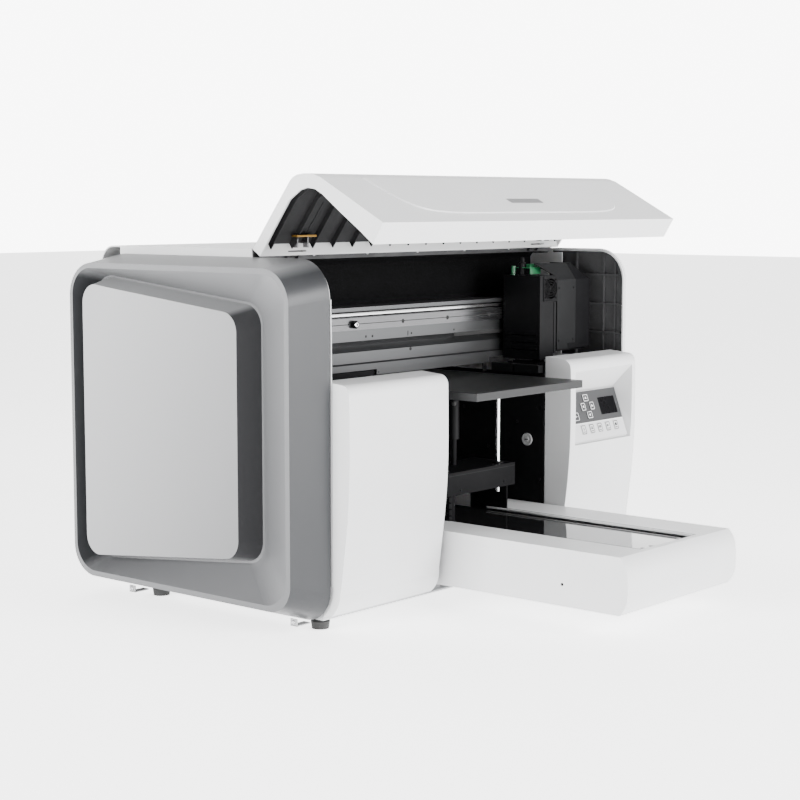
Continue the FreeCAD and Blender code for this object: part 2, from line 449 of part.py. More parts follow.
# toothed belt: closed loop round the two pulleys
def stadium(r, z0, z1):
    a = box(-PULLEY_X, PULLEY_X, PULLEY_Y - r, PULLEY_Y + r, z0, z1)
    return a.fuse([cyl(r, (-PULLEY_X, PULLEY_Y, z0), (0, 0, 1), z1 - z0), cyl(r, (PULLEY_X, PULLEY_Y, z0), (0, 0, 1), z1 - z0)]).removeSplitter()
save("x_belt", stadium(PULLEY_R + 1.6, BELT_Z0, BELT_Z1).cut(stadium(PULLEY_R + 0.3, BELT_Z0 - 1, BELT_Z1 + 1)))
def pulley(x):
    p = cyl(PULLEY_R, (x, PULLEY_Y, BELT_Z0 - 0.8), (0, 0, 1), BELT_Z1 - BELT_Z0 + 1.6)
    p = p.fuse([cyl(PULLEY_R + 2.6, (x, PULLEY_Y, BELT_Z0 - 1.8), (0, 0, 1), 1.0), cyl(PULLEY_R + 2.6, (x, PULLEY_Y, BELT_Z1 + 0.8), (0, 0, 1), 1.0)])
    p = p.fuse(cyl(6.0, (x, PULLEY_Y, BELT_Z1 + 1.8), (0, 0, 1), 6.0))
    return p.removeSplitter()
save("x_drive_pulley", pulley(-PULLEY_X))
save("x_idler_pulley", pulley(PULLEY_X))
# motors: the belt motor stands on the beam over the drive pulley; the table motor sits behind the screw
xm = box(-PULLEY_X - 21, -PULLEY_X + 21, PULLEY_Y - 19, PULLEY_Y + 23, 562.2, 604.0).fuse(box(-PULLEY_X - 21, -PULLEY_X + 21, 124.0, 128.0, 559.0, 563.0))
save("x_motor", xm)
save("table_motor", box(TC_X - 16.8, TC_X + 16.8, 407.0, 462.0, HOUS_Z0 + T, 77.5))
lp = poly_x([(88.0, 437.3), (88.0, 426.5), (90.0, 426.5), (90.0, 435.3), (132.0, 435.3), (132.0, 437.3)], -141.5, 214.0)
lp = lp.fuse(box(194.0, 206.0, 88.0, 90.0, 409.0, 430.0)).removeSplitter()
save("beam_lower_plate", lp)

# ---------------------------------------------------------------- carriage
cf = box(258, 430, 60.0, 66.0, 446.0, 600.0)                       # back plate
blocks = []
for x in (266.0, 376.0):
    blocks += [box(x, x + 46, 65.5, 83.6, 505.0, 546.0), box(x, x + 46, 83.5, 91.4, 540.4, 542.6), box(x, x + 46, 83.5, 91.4, 505.0, 515.6)]
cf = cf.fuse(blocks)
cf = cf.fuse([box(258, 430, 6, 61, 446.0, 450.0), box(313, 380, -14.0, -11.5, 452.0, 597.0),            # floor, front plate
              poly_x([(-14.0, 596.5), (-11.5, 596.5), (14.5, 630.0), (12.0, 632.0)], 313.0, 380.0),
              box(377.5, 380, -13.0, 61, 452.0, 597.0)])
top_wing = poly_x([(-14.0, 596.5), (-11.5, 596.5), (14.5, 630.0), (12.0, 632.0)], 262.0, 313.5)
wing_cut = poly_y([(255.0, 590.0), (255.0, 640.0), (266.0, 632.0), (306.0, 610.0), (313.0, 606.0), (313.0, 590.0)], -40.0, 40.0)
cf = cf.fuse(top_wing.cut(wing_cut)).fuse(box(302.5, 308.5, -14.0, -10.0, 446.0, 552.0)).fuse(box(302.5, 308.5, -10.5, 8.0, 446.0, 450.0)).removeSplitter()
save("carriage_frame", cf)

cc = box(CAR_X0, 300.0, CAR_Y0, 80.0, CAR_Z0, CAR_Z1).cut(box(CAR_X0 + 2, 298.0, CAR_Y0 + 2, 59.0, CAR_Z0 - 1, CAR_Z1 - 2)).cut(box(257.0, 301.0, 59.0 - 0.5, 81.0, CAR_Z0 - 1, 601.0))
cc = cc.fuse(box(299.0, 312.6, CAR_Y0, 30.0, 553.0, CAR_Z1 - 2).cut(box(298.0, 310.6, CAR_Y0 + 2, 31.0, 555.0, CAR_Z1 - 4)))
cc = cc.cut(box(298.0 - 0.5, 300.5, CAR_Y0 + 2, 28.0, 555.0, CAR_Z1 - 4))
fx, fz, fr = 289.0, 580.0, 21.5
cc = cc.cut(cyl(fr, (fx, CAR_Y0 - 1, fz), (0, 1, 0), 4.0))
grille = [tube(r + 1.3, r - 0.0, (fx, CAR_Y0, fz), (0, 1, 0), 1.6) for r in (5.5, 11.0, 16.2)]
spokes = []
for a in (45, 135):
    s = box(fx - fr - 1, fx + fr + 1, CAR_Y0, CAR_Y0 + 1.6, fz - 1.0, fz + 1.0)
    s.rotate(V(fx, 0, fz), V(0, 1, 0), a)
    spokes.append(s)
cc = cc.fuse(grille + spokes)
# three louvres on the left side
for z in (486.0, 471.0, 456.0):
    lv = poly_y([(CAR_X0 + 0.2, z + 5.0), (CAR_X0 - 3.0, z - 1.0), (CAR_X0 + 0.2, z - 1.0)], -8.0, 76.0)
    cc = cc.cut(box(CAR_X0 - 1, CAR_X0 + 2.5, -6.0, 57.0, z - 3.4, z - 1.0)).fuse(lv)
cc = cc.cut(box(297.0, 301.0, 5.4, 62.0, 445.4, 450.6))
save("carriage_cover", cc.removeSplitter())

hub = cyl(8.0, (fx, CAR_Y0 + 3.2, fz), (0, 1, 0), 8.0)
blades = []
for i in range(7):
    b = box(6.5, 18.9, -0.6, 0.6, -4.0, 4.0)
    b.rotate(V(0, 0, 0), V(1, 0, 0), 38)
    m = FreeCAD.Placement(V(fx, CAR_Y0 + 7.2, fz), FreeCAD.Rotation(V(0, 1, 0), i * 360.0 / 7))
    b.Placement = m.multiply(b.Placement)
    blades.append(b)
save("carriage_fan", hub.fuse(blades))

ph = box(262, 294, 12, 56, 431.0, 445.7)
save("print_head", ph)
lamp = poly_x([(-13.0, 452.0), (-13.0, 597.0), (12.0, 631.0), (56.0, 631.0), (56.0, 452.0)], 382.0, 432.0)
lampcut = poly_y([(382.0 + 4, 640.0), (440.0, 640.0), (440.0, 590.0)], -20.0, 60.0)
lamp = lamp.cut(lampcut).cut(box(386, 428, -9, 52, 450, 590))
save("uv_lamp", lamp)
pcb = box(262, 330, 20, 56, 622.0, 624.0).fuse([box(268, 282, 24, 34, 623.5, 631.0), box(296, 322, 40, 52, 623.5, 630.0), box(264, 300, 20, 22, 610.0, 622.5)])
save("carriage_board", pcb.removeSplitter())

# ---------------------------------------------------------------- cap station and drip tray
cs = box(222, 330, -24, 80, 330.0, 400.0).cut(box(254, 306, -3, 73, 396.0, 401.0))
cs = cs.fuse([box(212.0, 226, -20, 60, 332.0, 336.0)])
tray = box(193.5, 209.2, -54.0, 8.0, 413.5, 429.0).cut(box(195.5, 207.2, -52.0, 6.0, 416.0, 430.0))
gbox = box(193.5, 209.2, 12.0, 66.0, 413.0, 429.5)
brk = box(196.0, 213.5, -28.0, 62.0, 411.6, 413.6)
arm = box(212.0, 222.5, -20.0, 62.0, 396.0, 413.6).cut(box(211.0, 220.0, -21.0, 63.0, 390.0, 411.6))
cs = cs.fuse([tray, gbox, brk, arm]).removeSplitter()
save("cap_station", cs)
cap = box(256, 304, -1, 71, 401.0, 426.0).cut(box(259, 301, 5, 65, 418.0, 430.0)).fuse([box(260, 296, 8, 60, 418.0, 420.0)])
lipc = box(258.5, 297.5, 8, 60, 420.0, 430.6).cut(box(261, 295, 11, 57, 419.0, 431.0))
save("cap_tray", cap.fuse(lipc).removeSplitter())

# ---------------------------------------------------------------- lid, open
def offset_path(pts, d):
    out = []
    n = len(pts)
    for i in range(n):
        a = pts[max(i - 1, 0)]; b = pts[min(i + 1, n - 1)]
        ty, tz = b[0] - a[0], b[1] - a[1]
        l = math.hypot(ty, tz)
        out.append((pts[i][0] - tz / l * d, pts[i][1] + ty / l * d))
    return out
full = poly_x(OUT + INN, -LX, LX)
inner_skin = offset_path(OUT, 3.2)
# hollow from below, keeping the skin, the end caps and a lip along the front edge
deep = offset_path(INN, 40.0)
cavity_pts = inner_skin[1:-1] + [(-196.5, 724.0 - 0.3)] + [(-175.0, 688.5)]
cavity_pts = inner_skin[1:-1] + [(-197.2, 723.6), (-178.2, 692.5), (-171.0, 688.0), (-140.0, 690.0), (-60.0, 740.0), (-28.0, 760.0), (-5.0, 755.0), (50.0, 680.0), (84.0, 652.0)]
cav = poly_x(cavity_pts, -LX + 4.0, LX - 4.0)
lid = full.cut(cav)
for hx in HINGES:
    lid = lid.cut(cyl(13.0, (hx - 24, HINGE_Y, HINGE_Z), (1, 0, 0), 48.0))
save("lid_shell", lid)
# ribbed liner: a thin inner sheet with cross ribs
sheet_o = offset_path(OUT, 8.0)[1:-1]
sheet_i = offset_path(OUT, 9.6)[1:-1]
liner2 = poly_x(sheet_o + sheet_i[::-1], -LX + 5.0, LX - 5.0)
ribs = []
n = 17
rib_sec = poly_x(offset_path(OUT, 9.0)[1:-2] + [(-165.0, 728.0), (-158.0, 712.0), (-105.6, 745.0), (-63.6, 774.0), (-47.1, 782.0), (-28.1, 784.6), (-11.2, 780.6), (15.0, 764.0), (54.0, 711.5), (82.0, 674.0)], 0.0, 2.6)
for i in range(n):
    x = -LX + 20 + i * (2 * LX - 42.6) / (n - 1)
    r = rib_sec.copy(); r.translate(V(x, 0, 0)); ribs.append(r)
liner2 = liner2.fuse(ribs)
for hx in HINGES:
    liner2 = liner2.cut(cyl(16.0, (hx - 26, HINGE_Y, HINGE_Z), (1, 0, 0), 52.0)).cut(box(hx - 9, hx + 9, 30, 120, 640, 760))
save("lid_liner", liner2)

leaves = []
for hx in HINGES:
    d = math.atan2(796.7 - 673.7, 12.8 - 106.1)
    ux, uz = math.cos(d), math.sin(d)
    nx, nz = -uz, ux         # towards the inside of the lid
    pin = cyl(HINGE_R, (hx - 20, HINGE_Y, HINGE_Z), (1, 0, 0), 40.0)
    kn = cyl(8.0, (hx - 8, HINGE_Y, HINGE_Z), (1, 0, 0), 16.0)
    # leaf: plate from the knuckle up under the skin of the lid
    base = V(hx - 8, HINGE_Y, HINGE_Z)
    def q(a, b):
        return (HINGE_Y + ux * a + nx * b, HINGE_Z + uz * a + nz * b)
    leaf = poly_x([q(2, 3.5), q(2, -2.0), q(70, -2.0), q(70, 1.0), q(12, 1.0)], hx - 8, hx + 8)
    lf = pin.fuse([kn, leaf]).removeSplitter()
    lf = lf.cut(made["lid_shell"])
    leaves.append(max(lf.Solids, key=lambda q: q.Volume))
save("lid_hinge_leaves", leaves)

# ---------------------------------------------------------------- electrics
psu = box(-430, -230, 380, 490, 21.0, 71.0)
save("power_supply", soft_fillet(psu, 1.5, lambda e: along(e, (0, 0, 1))))
mb = box(-430, -220, 120, 300, 33.0, 35.0).fuse([box(-410, -380, 140, 170, 34.5, 44.0), box(-360, -330, 160, 200, 34.5, 40.0), box(-300, -240, 250, 290, 34.5, 48.0), box(-410, -370, 220, 280, 34.5, 46.0)])
mb = mb.fuse([cyl(3.0, (x, y, 21.0), (0, 0, 1), 12.5) for x in (-424, -226) for y in (126, 294)]).removeSplitter()
save("main_board", mb)
inl = box(-400, -368, 505, 520.5, 60, 84).cut(box(-395, -373, 508, 522, 64, 80)).fuse(box(-403, -365, 518.6, 520.5, 57, 87).cut(box(-395, -373, 508, 522, 64, 80)))
inl = inl.fuse([cyl(1.8, (x, 507, 72), (0, 1, 0), 10.0) for x in (-390, -384, -378)]).removeSplitter()
save("mains_inlet", inl)
rk = poly_x([(511.0, 62.0), (519.0, 61.8), (521.6, 63.0), (519.6, 72.0), (518.4, 82.2), (511.0, 82.0)], -354.8, -342.2)
rk = poly_x([(512.0, 63.5), (518.0, 61.9), (521.4, 62.6), (519.3, 72.0), (518.9, 81.4), (517.0, 82.0), (512.0, 80.5)], -354.6, -342.4)
save("power_rocker", rk)

# ---------------------------------------------------------------- report
tot = Part.makeCompound(list(made.values()))
bb = tot.BoundBox
print("nodes", len(made))
print("bbox x %.2f %.2f y %.2f %.2f z %.2f %.2f" % (bb.XMin, bb.XMax, bb.YMin, bb.YMax, bb.ZMin, bb.ZMax))
for k, s in made.items():
    bad = [i for i, q in enumerate(s.Solids) if not q.isValid()]
    print("%-20s solids %2d valid %s vol %.0f %s" % (k, len(s.Solids), s.isValid(), s.Volume, "BAD %s" % bad if bad else ""))
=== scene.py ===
import math, random
import bpy, bmesh
from mathutils import Vector, Matrix


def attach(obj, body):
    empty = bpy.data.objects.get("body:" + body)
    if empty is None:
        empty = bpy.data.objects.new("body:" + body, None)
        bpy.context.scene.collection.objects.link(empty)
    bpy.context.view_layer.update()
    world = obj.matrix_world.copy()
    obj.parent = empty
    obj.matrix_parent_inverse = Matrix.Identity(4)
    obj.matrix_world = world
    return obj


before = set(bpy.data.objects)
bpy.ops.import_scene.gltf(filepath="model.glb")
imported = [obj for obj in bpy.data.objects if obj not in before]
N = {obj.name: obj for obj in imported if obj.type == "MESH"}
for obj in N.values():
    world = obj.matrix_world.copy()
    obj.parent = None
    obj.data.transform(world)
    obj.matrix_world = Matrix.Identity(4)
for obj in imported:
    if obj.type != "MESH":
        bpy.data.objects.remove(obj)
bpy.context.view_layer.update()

XM, YM = -36.6, 8.375      # the body's drawing origin, in mm from the row's
random.seed(4)

# ------------------------------------------------------------------ materials
def new_mat(name, color, rough=0.5, metal=0.0, coat=0.0, spec=0.5):
    m = bpy.data.materials.new(name)
    m.use_nodes = True
    b = m.node_tree.nodes["Principled BSDF"]
    b.inputs["Base Color"].default_value = (*color, 1.0)
    b.inputs["Roughness"].default_value = rough
    b.inputs["Metallic"].default_value = metal
    b.inputs["Coat Weight"].default_value = coat
    b.inputs["Coat Roughness"].default_value = 0.12
    b.inputs["Specular IOR Level"].default_value = spec
    return m, m.node_tree, b

def coords(t):
    return t.nodes.new("ShaderNodeTexCoord").outputs["Object"]

def noise(t, scale, detail=3.0, rough=0.55, vec=None):
    n = t.nodes.new("ShaderNodeTexNoise")
    n.inputs["Scale"].default_value = scale
    n.inputs["Detail"].default_value = detail
    n.inputs["Roughness"].default_value = rough
    t.links.new(vec if vec is not None else coords(t), n.inputs["Vector"])
    return n.outputs["Fac"]

def bump(t, b, height, dist, strength=0.5, prev=None):
    n = t.nodes.new("ShaderNodeBump")
    n.inputs["Distance"].default_value = dist
    n.inputs["Strength"].default_value = strength
    t.links.new(height, n.inputs["Height"])
    if prev is not None:
        t.links.new(prev, n.inputs["Normal"])
    t.links.new(n.outputs["Normal"], b.inputs["Normal"])
    return n.outputs["Normal"]

def ramp(t, fac, stops):
    r = t.nodes.new("ShaderNodeValToRGB")
    e = r.color_ramp.elements
    e[0].position, e[0].color = stops[0][0], (*stops[0][1], 1)
    e[1].position, e[1].color = stops[-1][0], (*stops[-1][1], 1)
    for p, c in stops[1:-1]:
        k = e.new(p)
        k.color = (*c, 1)
    t.links.new(fac, r.inputs["Fac"])
    return r.outputs["Color"]

def rough_var(t, b, scale, lo_, hi_):
    m = t.nodes.new("ShaderNodeMapRange")
    m.inputs["To Min"].default_value = lo_
    m.inputs["To Max"].default_value = hi_
    m.inputs["From Min"].default_value = 0.3
    m.inputs["From Max"].default_value = 0.7
    t.links.new(noise(t, scale, 2.0), m.inputs["Value"])
    t.links.new(m.outputs["Result"], b.inputs["Roughness"])

def textured(name, color, rough, scale, dist, strength=0.5, coat=0.0, tint=0.03, metal=0.0, spec=0.5):
    """Moulded surface: fine grain in the height, faint mottling in the colour."""
    m, t, b = new_mat(name, color, rough, metal, coat, spec)
    n = noise(t, scale, 2.0)
    bump(t, b, n, dist, strength)
    d = tuple(max(0, c - tint) for c in color)
    u = tuple(min(1, c + tint * 0.4) for c in color)
    col = ramp(t, noise(t, 14.0, 4.0), [(0.3, d), (0.7, u)])
    t.links.new(col, b.inputs["Base Color"])
    return m

def brushed(name, color, rough, axis, metal=1.0, scale=60.0, strength=0.25):
    """Metal with fine lines running along one axis (0, 1 or 2)."""
    m, t, b = new_mat(name, color, rough, metal)
    mp = t.nodes.new("ShaderNodeMapping")
    s = [scale * 40, scale * 40, scale * 40]
    s[axis] = scale * 0.25
    mp.inputs["Scale"].default_value = s
    t.links.new(coords(t), mp.inputs["Vector"])
    n = noise(t, 1.0, 3.0, vec=mp.outputs["Vector"])
    bump(t, b, n, 0.00006, strength)
    mr = t.nodes.new("ShaderNodeMapRange")
    mr.inputs["To Min"].default_value = max(0.05, rough - 0.08)
    mr.inputs["To Max"].default_value = rough + 0.1
    t.links.new(n, mr.inputs["Value"])
    t.links.new(mr.outputs["Result"], b.inputs["Roughness"])
    return m

M = {}
M["white"] = textured("white_cover", (0.56, 0.563, 0.568), 0.42, 900.0, 0.00025, 0.35, tint=0.012)
M["white_lid"] = textured("white_lid", (0.58, 0.582, 0.586), 0.34, 1200.0, 0.00008, 0.2, tint=0.008)
def silver_painted_shade(name, light, dark, stops, rough, recess_shade=None, front_face_shade=None, side=None):
    """Silver paint with flake grain, plus painted shade running from one corner of the part to the other, darker
    towards the front and the bottom.
    """
    m, t, b = new_mat(name, light, rough, 0.12, 0.0, 0.3)
    sp = t.nodes.new("ShaderNodeSeparateXYZ")
    t.links.new(coords(t), sp.inputs["Vector"])
    # painted shade: the tone runs along y (front to back) and z (low to high), darker towards the front and the bottom
    ma = t.nodes.new("ShaderNodeMath"); ma.operation = "MULTIPLY"; ma.inputs[1].default_value = stops[0]
    t.links.new(sp.outputs["Y"], ma.inputs[0])
    mb = t.nodes.new("ShaderNodeMath"); mb.operation = "MULTIPLY_ADD"; mb.inputs[1].default_value = stops[1]
    t.links.new(sp.outputs["Z"], mb.inputs[0])
    t.links.new(ma.outputs[0], mb.inputs[2])
    mc = t.nodes.new("ShaderNodeMath"); mc.operation = "ADD"; mc.inputs[1].default_value = stops[2]
    mc.use_clamp = True
    t.links.new(mb.outputs[0], mc.inputs[0])
    fl = noise(t, 1100.0, 2.0)
    md = t.nodes.new("ShaderNodeMath"); md.operation = "MULTIPLY_ADD"; md.inputs[1].default_value = 0.16
    t.links.new(fl, md.inputs[0])
    t.links.new(mc.outputs[0], md.inputs[2])
    me_ = t.nodes.new("ShaderNodeMath"); me_.operation = "SUBTRACT"; me_.inputs[1].default_value = 0.08
    me_.use_clamp = True
    t.links.new(md.outputs[0], me_.inputs[0])
    col = ramp(t, me_.outputs[0], [(0.0, dark), (1.0, light)])
    if recess_shade:
        # painted shade: the bottom of the recess, facing out and far in, is darkened
        g = t.nodes.new("ShaderNodeNewGeometry")
        sn = t.nodes.new("ShaderNodeSeparateXYZ")
        t.links.new(g.outputs["Normal"], sn.inputs["Vector"])
        a1 = t.nodes.new("ShaderNodeMapRange")
        a1.inputs["From Min"].default_value, a1.inputs["From Max"].default_value = -0.25, -0.6
        t.links.new(sn.outputs["X"], a1.inputs["Value"])
        a2 = t.nodes.new("ShaderNodeMapRange")
        a2.inputs["From Min"].default_value, a2.inputs["From Max"].default_value = recess_shade[0], recess_shade[1]
        t.links.new(sp.outputs["X"], a2.inputs["Value"])
        a3 = t.nodes.new("ShaderNodeMath"); a3.operation = "MULTIPLY"
        t.links.new(a1.outputs["Result"], a3.inputs[0])
        t.links.new(a2.outputs["Result"], a3.inputs[1])
        mx_ = t.nodes.new("ShaderNodeMix"); mx_.data_type = "RGBA"
        t.links.new(a3.outputs[0], mx_.inputs["Factor"])
        t.links.new(col, mx_.inputs["A"])
        mx_.inputs["B"].default_value = (*recess_shade[2], 1)
        col = mx_.outputs["Result"]
    # painted shade: faces turned to the front on the cover, and the plaque's side walls, are darkened
    for axis, lo_f, hi_f, tone in ((front_face_shade or ()) + (side or ())):
        g = t.nodes.new("ShaderNodeNewGeometry")
        sn = t.nodes.new("ShaderNodeSeparateXYZ")
        t.links.new(g.outputs["Normal"], sn.inputs["Vector"])
        a1 = t.nodes.new("ShaderNodeMapRange")
        a1.inputs["From Min"].default_value, a1.inputs["From Max"].default_value = lo_f, hi_f
        t.links.new(sn.outputs[axis], a1.inputs["Value"])
        mx_ = t.nodes.new("ShaderNodeMix"); mx_.data_type = "RGBA"
        t.links.new(a1.outputs["Result"], mx_.inputs["Factor"])
        t.links.new(col, mx_.inputs["A"])
        mx_.inputs["B"].default_value = (*tone, 1)
        col = mx_.outputs["Result"]
    t.links.new(col, b.inputs["Base Color"])
    bump(t, b, fl, 0.00005, 0.3)
    return m
# silver cover: painted shade, darker towards the front and the bottom, on its front-facing faces and at the bottom of
# the recess
M["silver"] = silver_painted_shade("silver_cover", (0.165, 0.167, 0.171), (0.095, 0.0965, 0.10), (0.6, 0.9, 0.05), 0.36, (-0.464, -0.4585, (0.125, 0.1265, 0.13)), front_face_shade=(("Y", -0.35, -0.7, (0.026, 0.027, 0.029)),))
# plaque: painted shade, darker towards the front and the bottom, and on its front-facing side walls
M["plaque"] = silver_painted_shade("plaque_silver", (0.30, 0.302, 0.307), (0.10, 0.101, 0.104), (1.3, 0.8, 0.02), 0.36, side=(("Y", -0.25, -0.6, (0.030, 0.030, 0.032)),))
M["liner"] = textured("dark_liner", (0.020, 0.020, 0.021), 0.62, 700.0, 0.0006, 0.7, tint=0.006, spec=0.2)
M["black_steel"] = textured("black_steel", (0.0035, 0.0035, 0.004), 0.55, 1400.0, 0.0001, 0.4, tint=0.001, spec=0.07)
M["chassis"] = textured("chassis_grey", (0.42, 0.425, 0.43), 0.45, 1400.0, 0.0001, 0.4, tint=0.01)
M["rubber"] = textured("rubber_black", (0.012, 0.012, 0.012), 0.7, 600.0, 0.0002, 0.5, tint=0.004)
M["alu_x"] = brushed("aluminium_x", (0.115, 0.117, 0.12), 0.36, 0)
M["alu_dark"] = textured("aluminium_grey", (0.016, 0.0163, 0.017), 0.42, 1800.0, 0.00006, 0.3, tint=0.002, spec=0.25)
M["steel_x"] = brushed("steel_x", (0.17, 0.17, 0.175), 0.25, 0)
M["steel_y"] = brushed("steel_y", (0.55, 0.55, 0.56), 0.28, 1)
M["chrome"] = new_mat("chrome_rod", (0.8, 0.8, 0.81), 0.08, 1.0)[0]
m_, t_, b_ = new_mat("gloss_black", (0.008, 0.008, 0.0085), 0.06, 0.0, 0.0, 0.5)
rough_var(t_, b_, 30.0, 0.04, 0.09)
M["gloss_black"] = m_
M["black_plastic"] = textured("black_plastic", (0.004, 0.004, 0.0045), 0.45, 1000.0, 0.00015, 0.4, tint=0.0015, spec=0.09)
M["pcb"] = textured("pcb_green", (0.01, 0.09, 0.035), 0.35, 400.0, 0.0002, 0.4, tint=0.006, coat=0.3)
M["belt"] = textured("belt_black", (0.02, 0.02, 0.02), 0.6, 800.0, 0.0002, 0.4, tint=0.004)
M["key_dark"] = textured("key_dark", (0.028, 0.0285, 0.03), 0.5, 1500.0, 0.00005, 0.3, tint=0.004)
M["key_white"] = textured("key_white", (0.52, 0.52, 0.525), 0.45, 1500.0, 0.00005, 0.3, tint=0.01)
M["print_white"] = new_mat("print_white", (0.75, 0.75, 0.76), 0.5)[0]
M["print_grey"] = new_mat("print_grey", (0.008, 0.008, 0.009), 0.6, 0.0, 0.0, 0.2)[0]
M["hinge_dark"] = brushed("hinge_dark", (0.10, 0.10, 0.102), 0.4, 2, 0.9)
M["copper"] = brushed("copper_orange", (0.26, 0.145, 0.03), 0.35, 0, 0.8)
m_, t_, b_ = new_mat("lcd_black", (0.002, 0.002, 0.0025), 0.3, 0.0, 0.0, 0.04)
rough_var(t_, b_, 50.0, 0.25, 0.32)
M["lcd"] = m_
# control panel face: dark above, white strip below, told apart by height
m_, t_, b_ = new_mat("panel_face", (0.03, 0.03, 0.032), 0.42)
sp = t_.nodes.new("ShaderNodeSeparateXYZ")
t_.links.new(coords(t_), sp.inputs["Vector"])
gt = t_.nodes.new("ShaderNodeMath")
gt.operation = "GREATER_THAN"
gt.inputs[1].default_value = (271.5 + 37.8 * math.cos(math.radians(19.9))) / 1000.0
t_.links.new(sp.outputs["Z"], gt.inputs[0])
mx = t_.nodes.new("ShaderNodeMix")
mx.data_type = "RGBA"
mx.inputs["A"].default_value = (0.50, 0.50, 0.51, 1)
mx.inputs["B"].default_value = (0.028, 0.0285, 0.03, 1)
t_.links.new(gt.outputs[0], mx.inputs["Factor"])
t_.links.new(mx.outputs["Result"], b_.inputs["Base Color"])
bump(t_, b_, noise(t_, 1500.0, 2.0), 0.00005, 0.3)
M["panel"] = m_

M["liner_grey"] = textured("liner_grey", (0.050, 0.0505, 0.052), 0.6, 420.0, 0.0009, 0.9, tint=0.015, spec=0.15)
M["bracket_grey"] = textured("bracket_grey", (0.007, 0.0072, 0.0077), 0.5, 1400.0, 0.0001, 0.4, tint=0.0015, spec=0.1)
m_, t_, b_ = new_mat("speckled_panel", (0.012, 0.012, 0.013), 0.7, 0.0, 0.0, 0.03)
t_.links.new(ramp(t_, noise(t_, 900.0, 1.0), [(0.45, (0.0004, 0.0004, 0.0005)), (0.75, (0.008, 0.0082, 0.009))]), b_.inputs["Base Color"])
bump(t_, b_, noise(t_, 700.0, 2.0), 0.0005, 0.6)
M["speckle"] = m_
M["strip_bright"] = brushed("strip_bright", (0.75, 0.755, 0.76), 0.2, 0)
M["light_plastic"] = textured("light_plastic", (0.27, 0.272, 0.275), 0.45, 900.0, 0.0001, 0.3, tint=0.01)
M["badge"] = brushed("badge_dark", (0.30, 0.30, 0.31), 0.35, 0, 0.8)
# flat black: painted shade inside holes, slots and grooves; also a dark mark on the beam and the dark line at the lift
# box's lid joint
M["shadow_black"] = new_mat("hole_black", (0.004, 0.004, 0.004), 0.8)[0]
M["screw"] = brushed("screw_steel", (0.45, 0.45, 0.46), 0.35, 0, 1.0, 90.0)

M["rail_grey"] = textured("rail_grey", (0.038, 0.0385, 0.04), 0.5, 500.0, 0.0003, 0.6, tint=0.02, spec=0.3)

NODE_MAT = {
    "left_end_cover": "silver", "right_end_cover": "white", "left_plaque": "plaque", "right_cover_liner": "liner_grey",
    "base_pan": "chassis", "rubber_feet": "rubber", "side_frames": "chassis", "top_rear_cover": "white", "rear_panel": "chassis",
    "hinge_rail": "rail_grey", "rear_inner_panel": "speckle", "left_front_cover": "white", "right_front_cover": "white", "control_panel": "panel",
    "lcd_screen": "lcd", "opening_walls": "black_steel", "table_housing": "white", "housing_plate": "gloss_black", "table_rails": "steel_y",
    "table_screw": "steel_y", "table_saddle": "black_steel", "lift_box": "black_steel", "guide_bushings": "black_plastic", "lift_screw": "black_steel",
    "platform": "alu_dark", "guide_posts": "chrome", "lift_nut_tube": "black_plastic", "gantry_beam": "alu_x", "x_linear_rail": "steel_x",
    "x_belt": "belt", "x_drive_pulley": "alu_x", "x_idler_pulley": "alu_x", "x_motor": "black_steel", "table_motor": "black_steel",
    "beam_lower_plate": "alu_x", "carriage_frame": "bracket_grey", "carriage_cover": "black_plastic", "carriage_fan": "black_plastic",
    "print_head": "steel_x", "uv_lamp": "black_steel", "carriage_board": "pcb", "cap_station": "bracket_grey", "cap_tray": "black_plastic",
    "lid_shell": "white_lid", "lid_liner": "liner", "lid_hinge_leaves": "hinge_dark", "power_supply": "chassis", "main_board": "pcb",
    "mains_inlet": "black_plastic", "power_rocker": "black_plastic"}
for k in ("key_up", "key_left", "key_right", "key_down", "key_enter"):
    NODE_MAT[k] = "key_dark"
for k in ("key_f1", "key_f2", "key_f3", "key_f4", "key_f5"):
    NODE_MAT[k] = "key_white"

def smooth(o, angle=32.0):
    for p in o.data.polygons:
        p.use_smooth = True
    me = o.data
    bm = bmesh.new()
    bm.from_mesh(me)
    lim = math.radians(angle)
    for e in bm.edges:
        e.smooth = len(e.link_faces) != 2 or e.calc_face_angle(0.0) < lim
    bm.to_mesh(me)
    bm.free()

BEVEL = {"left_front_cover": 2.4, "right_front_cover": 2.4, "table_housing": 2.0, "lid_shell": 1.6, "top_rear_cover": 0.7, "left_plaque": 2.2,
         "left_end_cover": 0.9, "right_end_cover": 0.9, "platform": 0.6, "carriage_cover": 1.0, "uv_lamp": 1.0, "carriage_frame": 0.3,
         "lift_box": 0.8, "housing_plate": 0.4, "gantry_beam": 0.4, "x_motor": 1.2}
for name, o in N.items():
    o.data.materials.clear()
    o.data.materials.append(M[NODE_MAT[name]])
    w = BEVEL.get(name, 0.3 if name not in ("x_belt",) else 0.0)
    if w > 0:
        bv = o.modifiers.new("edge", "BEVEL")
        bv.width = w / 1000.0
        bv.segments = 3 if w > 0.5 else 2
        bv.limit_method = "ANGLE"
        bv.angle_limit = math.radians(38)
        bv.harden_normals = False
        bv.use_clamp_overlap = True
    for p in o.data.polygons:
        p.use_smooth = True
    nm = o.modifiers.new("wn", "WEIGHTED_NORMAL")
    nm.keep_sharp = True
    nm.weight = 80

# ------------------------------------------------------------------ small pieces the CAD leaves out
def P(x, y, z):
    return Vector(((x - XM) / 1000.0, (y - YM) / 1000.0, z / 1000.0))

def finish_piece(o, mat, body, bev=0.0, seg=2, smooth_all=True):
    o.data.materials.clear()
    o.data.materials.append(M[mat])
    if smooth_all:
        for p in o.data.polygons:
            p.use_smooth = True
    if bev > 0:
        b = o.modifiers.new("edge", "BEVEL")
        b.width = bev / 1000.0
        b.segments = seg
        b.limit_method = "ANGLE"
        b.angle_limit = math.radians(35)
    n = o.modifiers.new("wn", "WEIGHTED_NORMAL")
    n.keep_sharp = True
    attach(o, body)
    return o

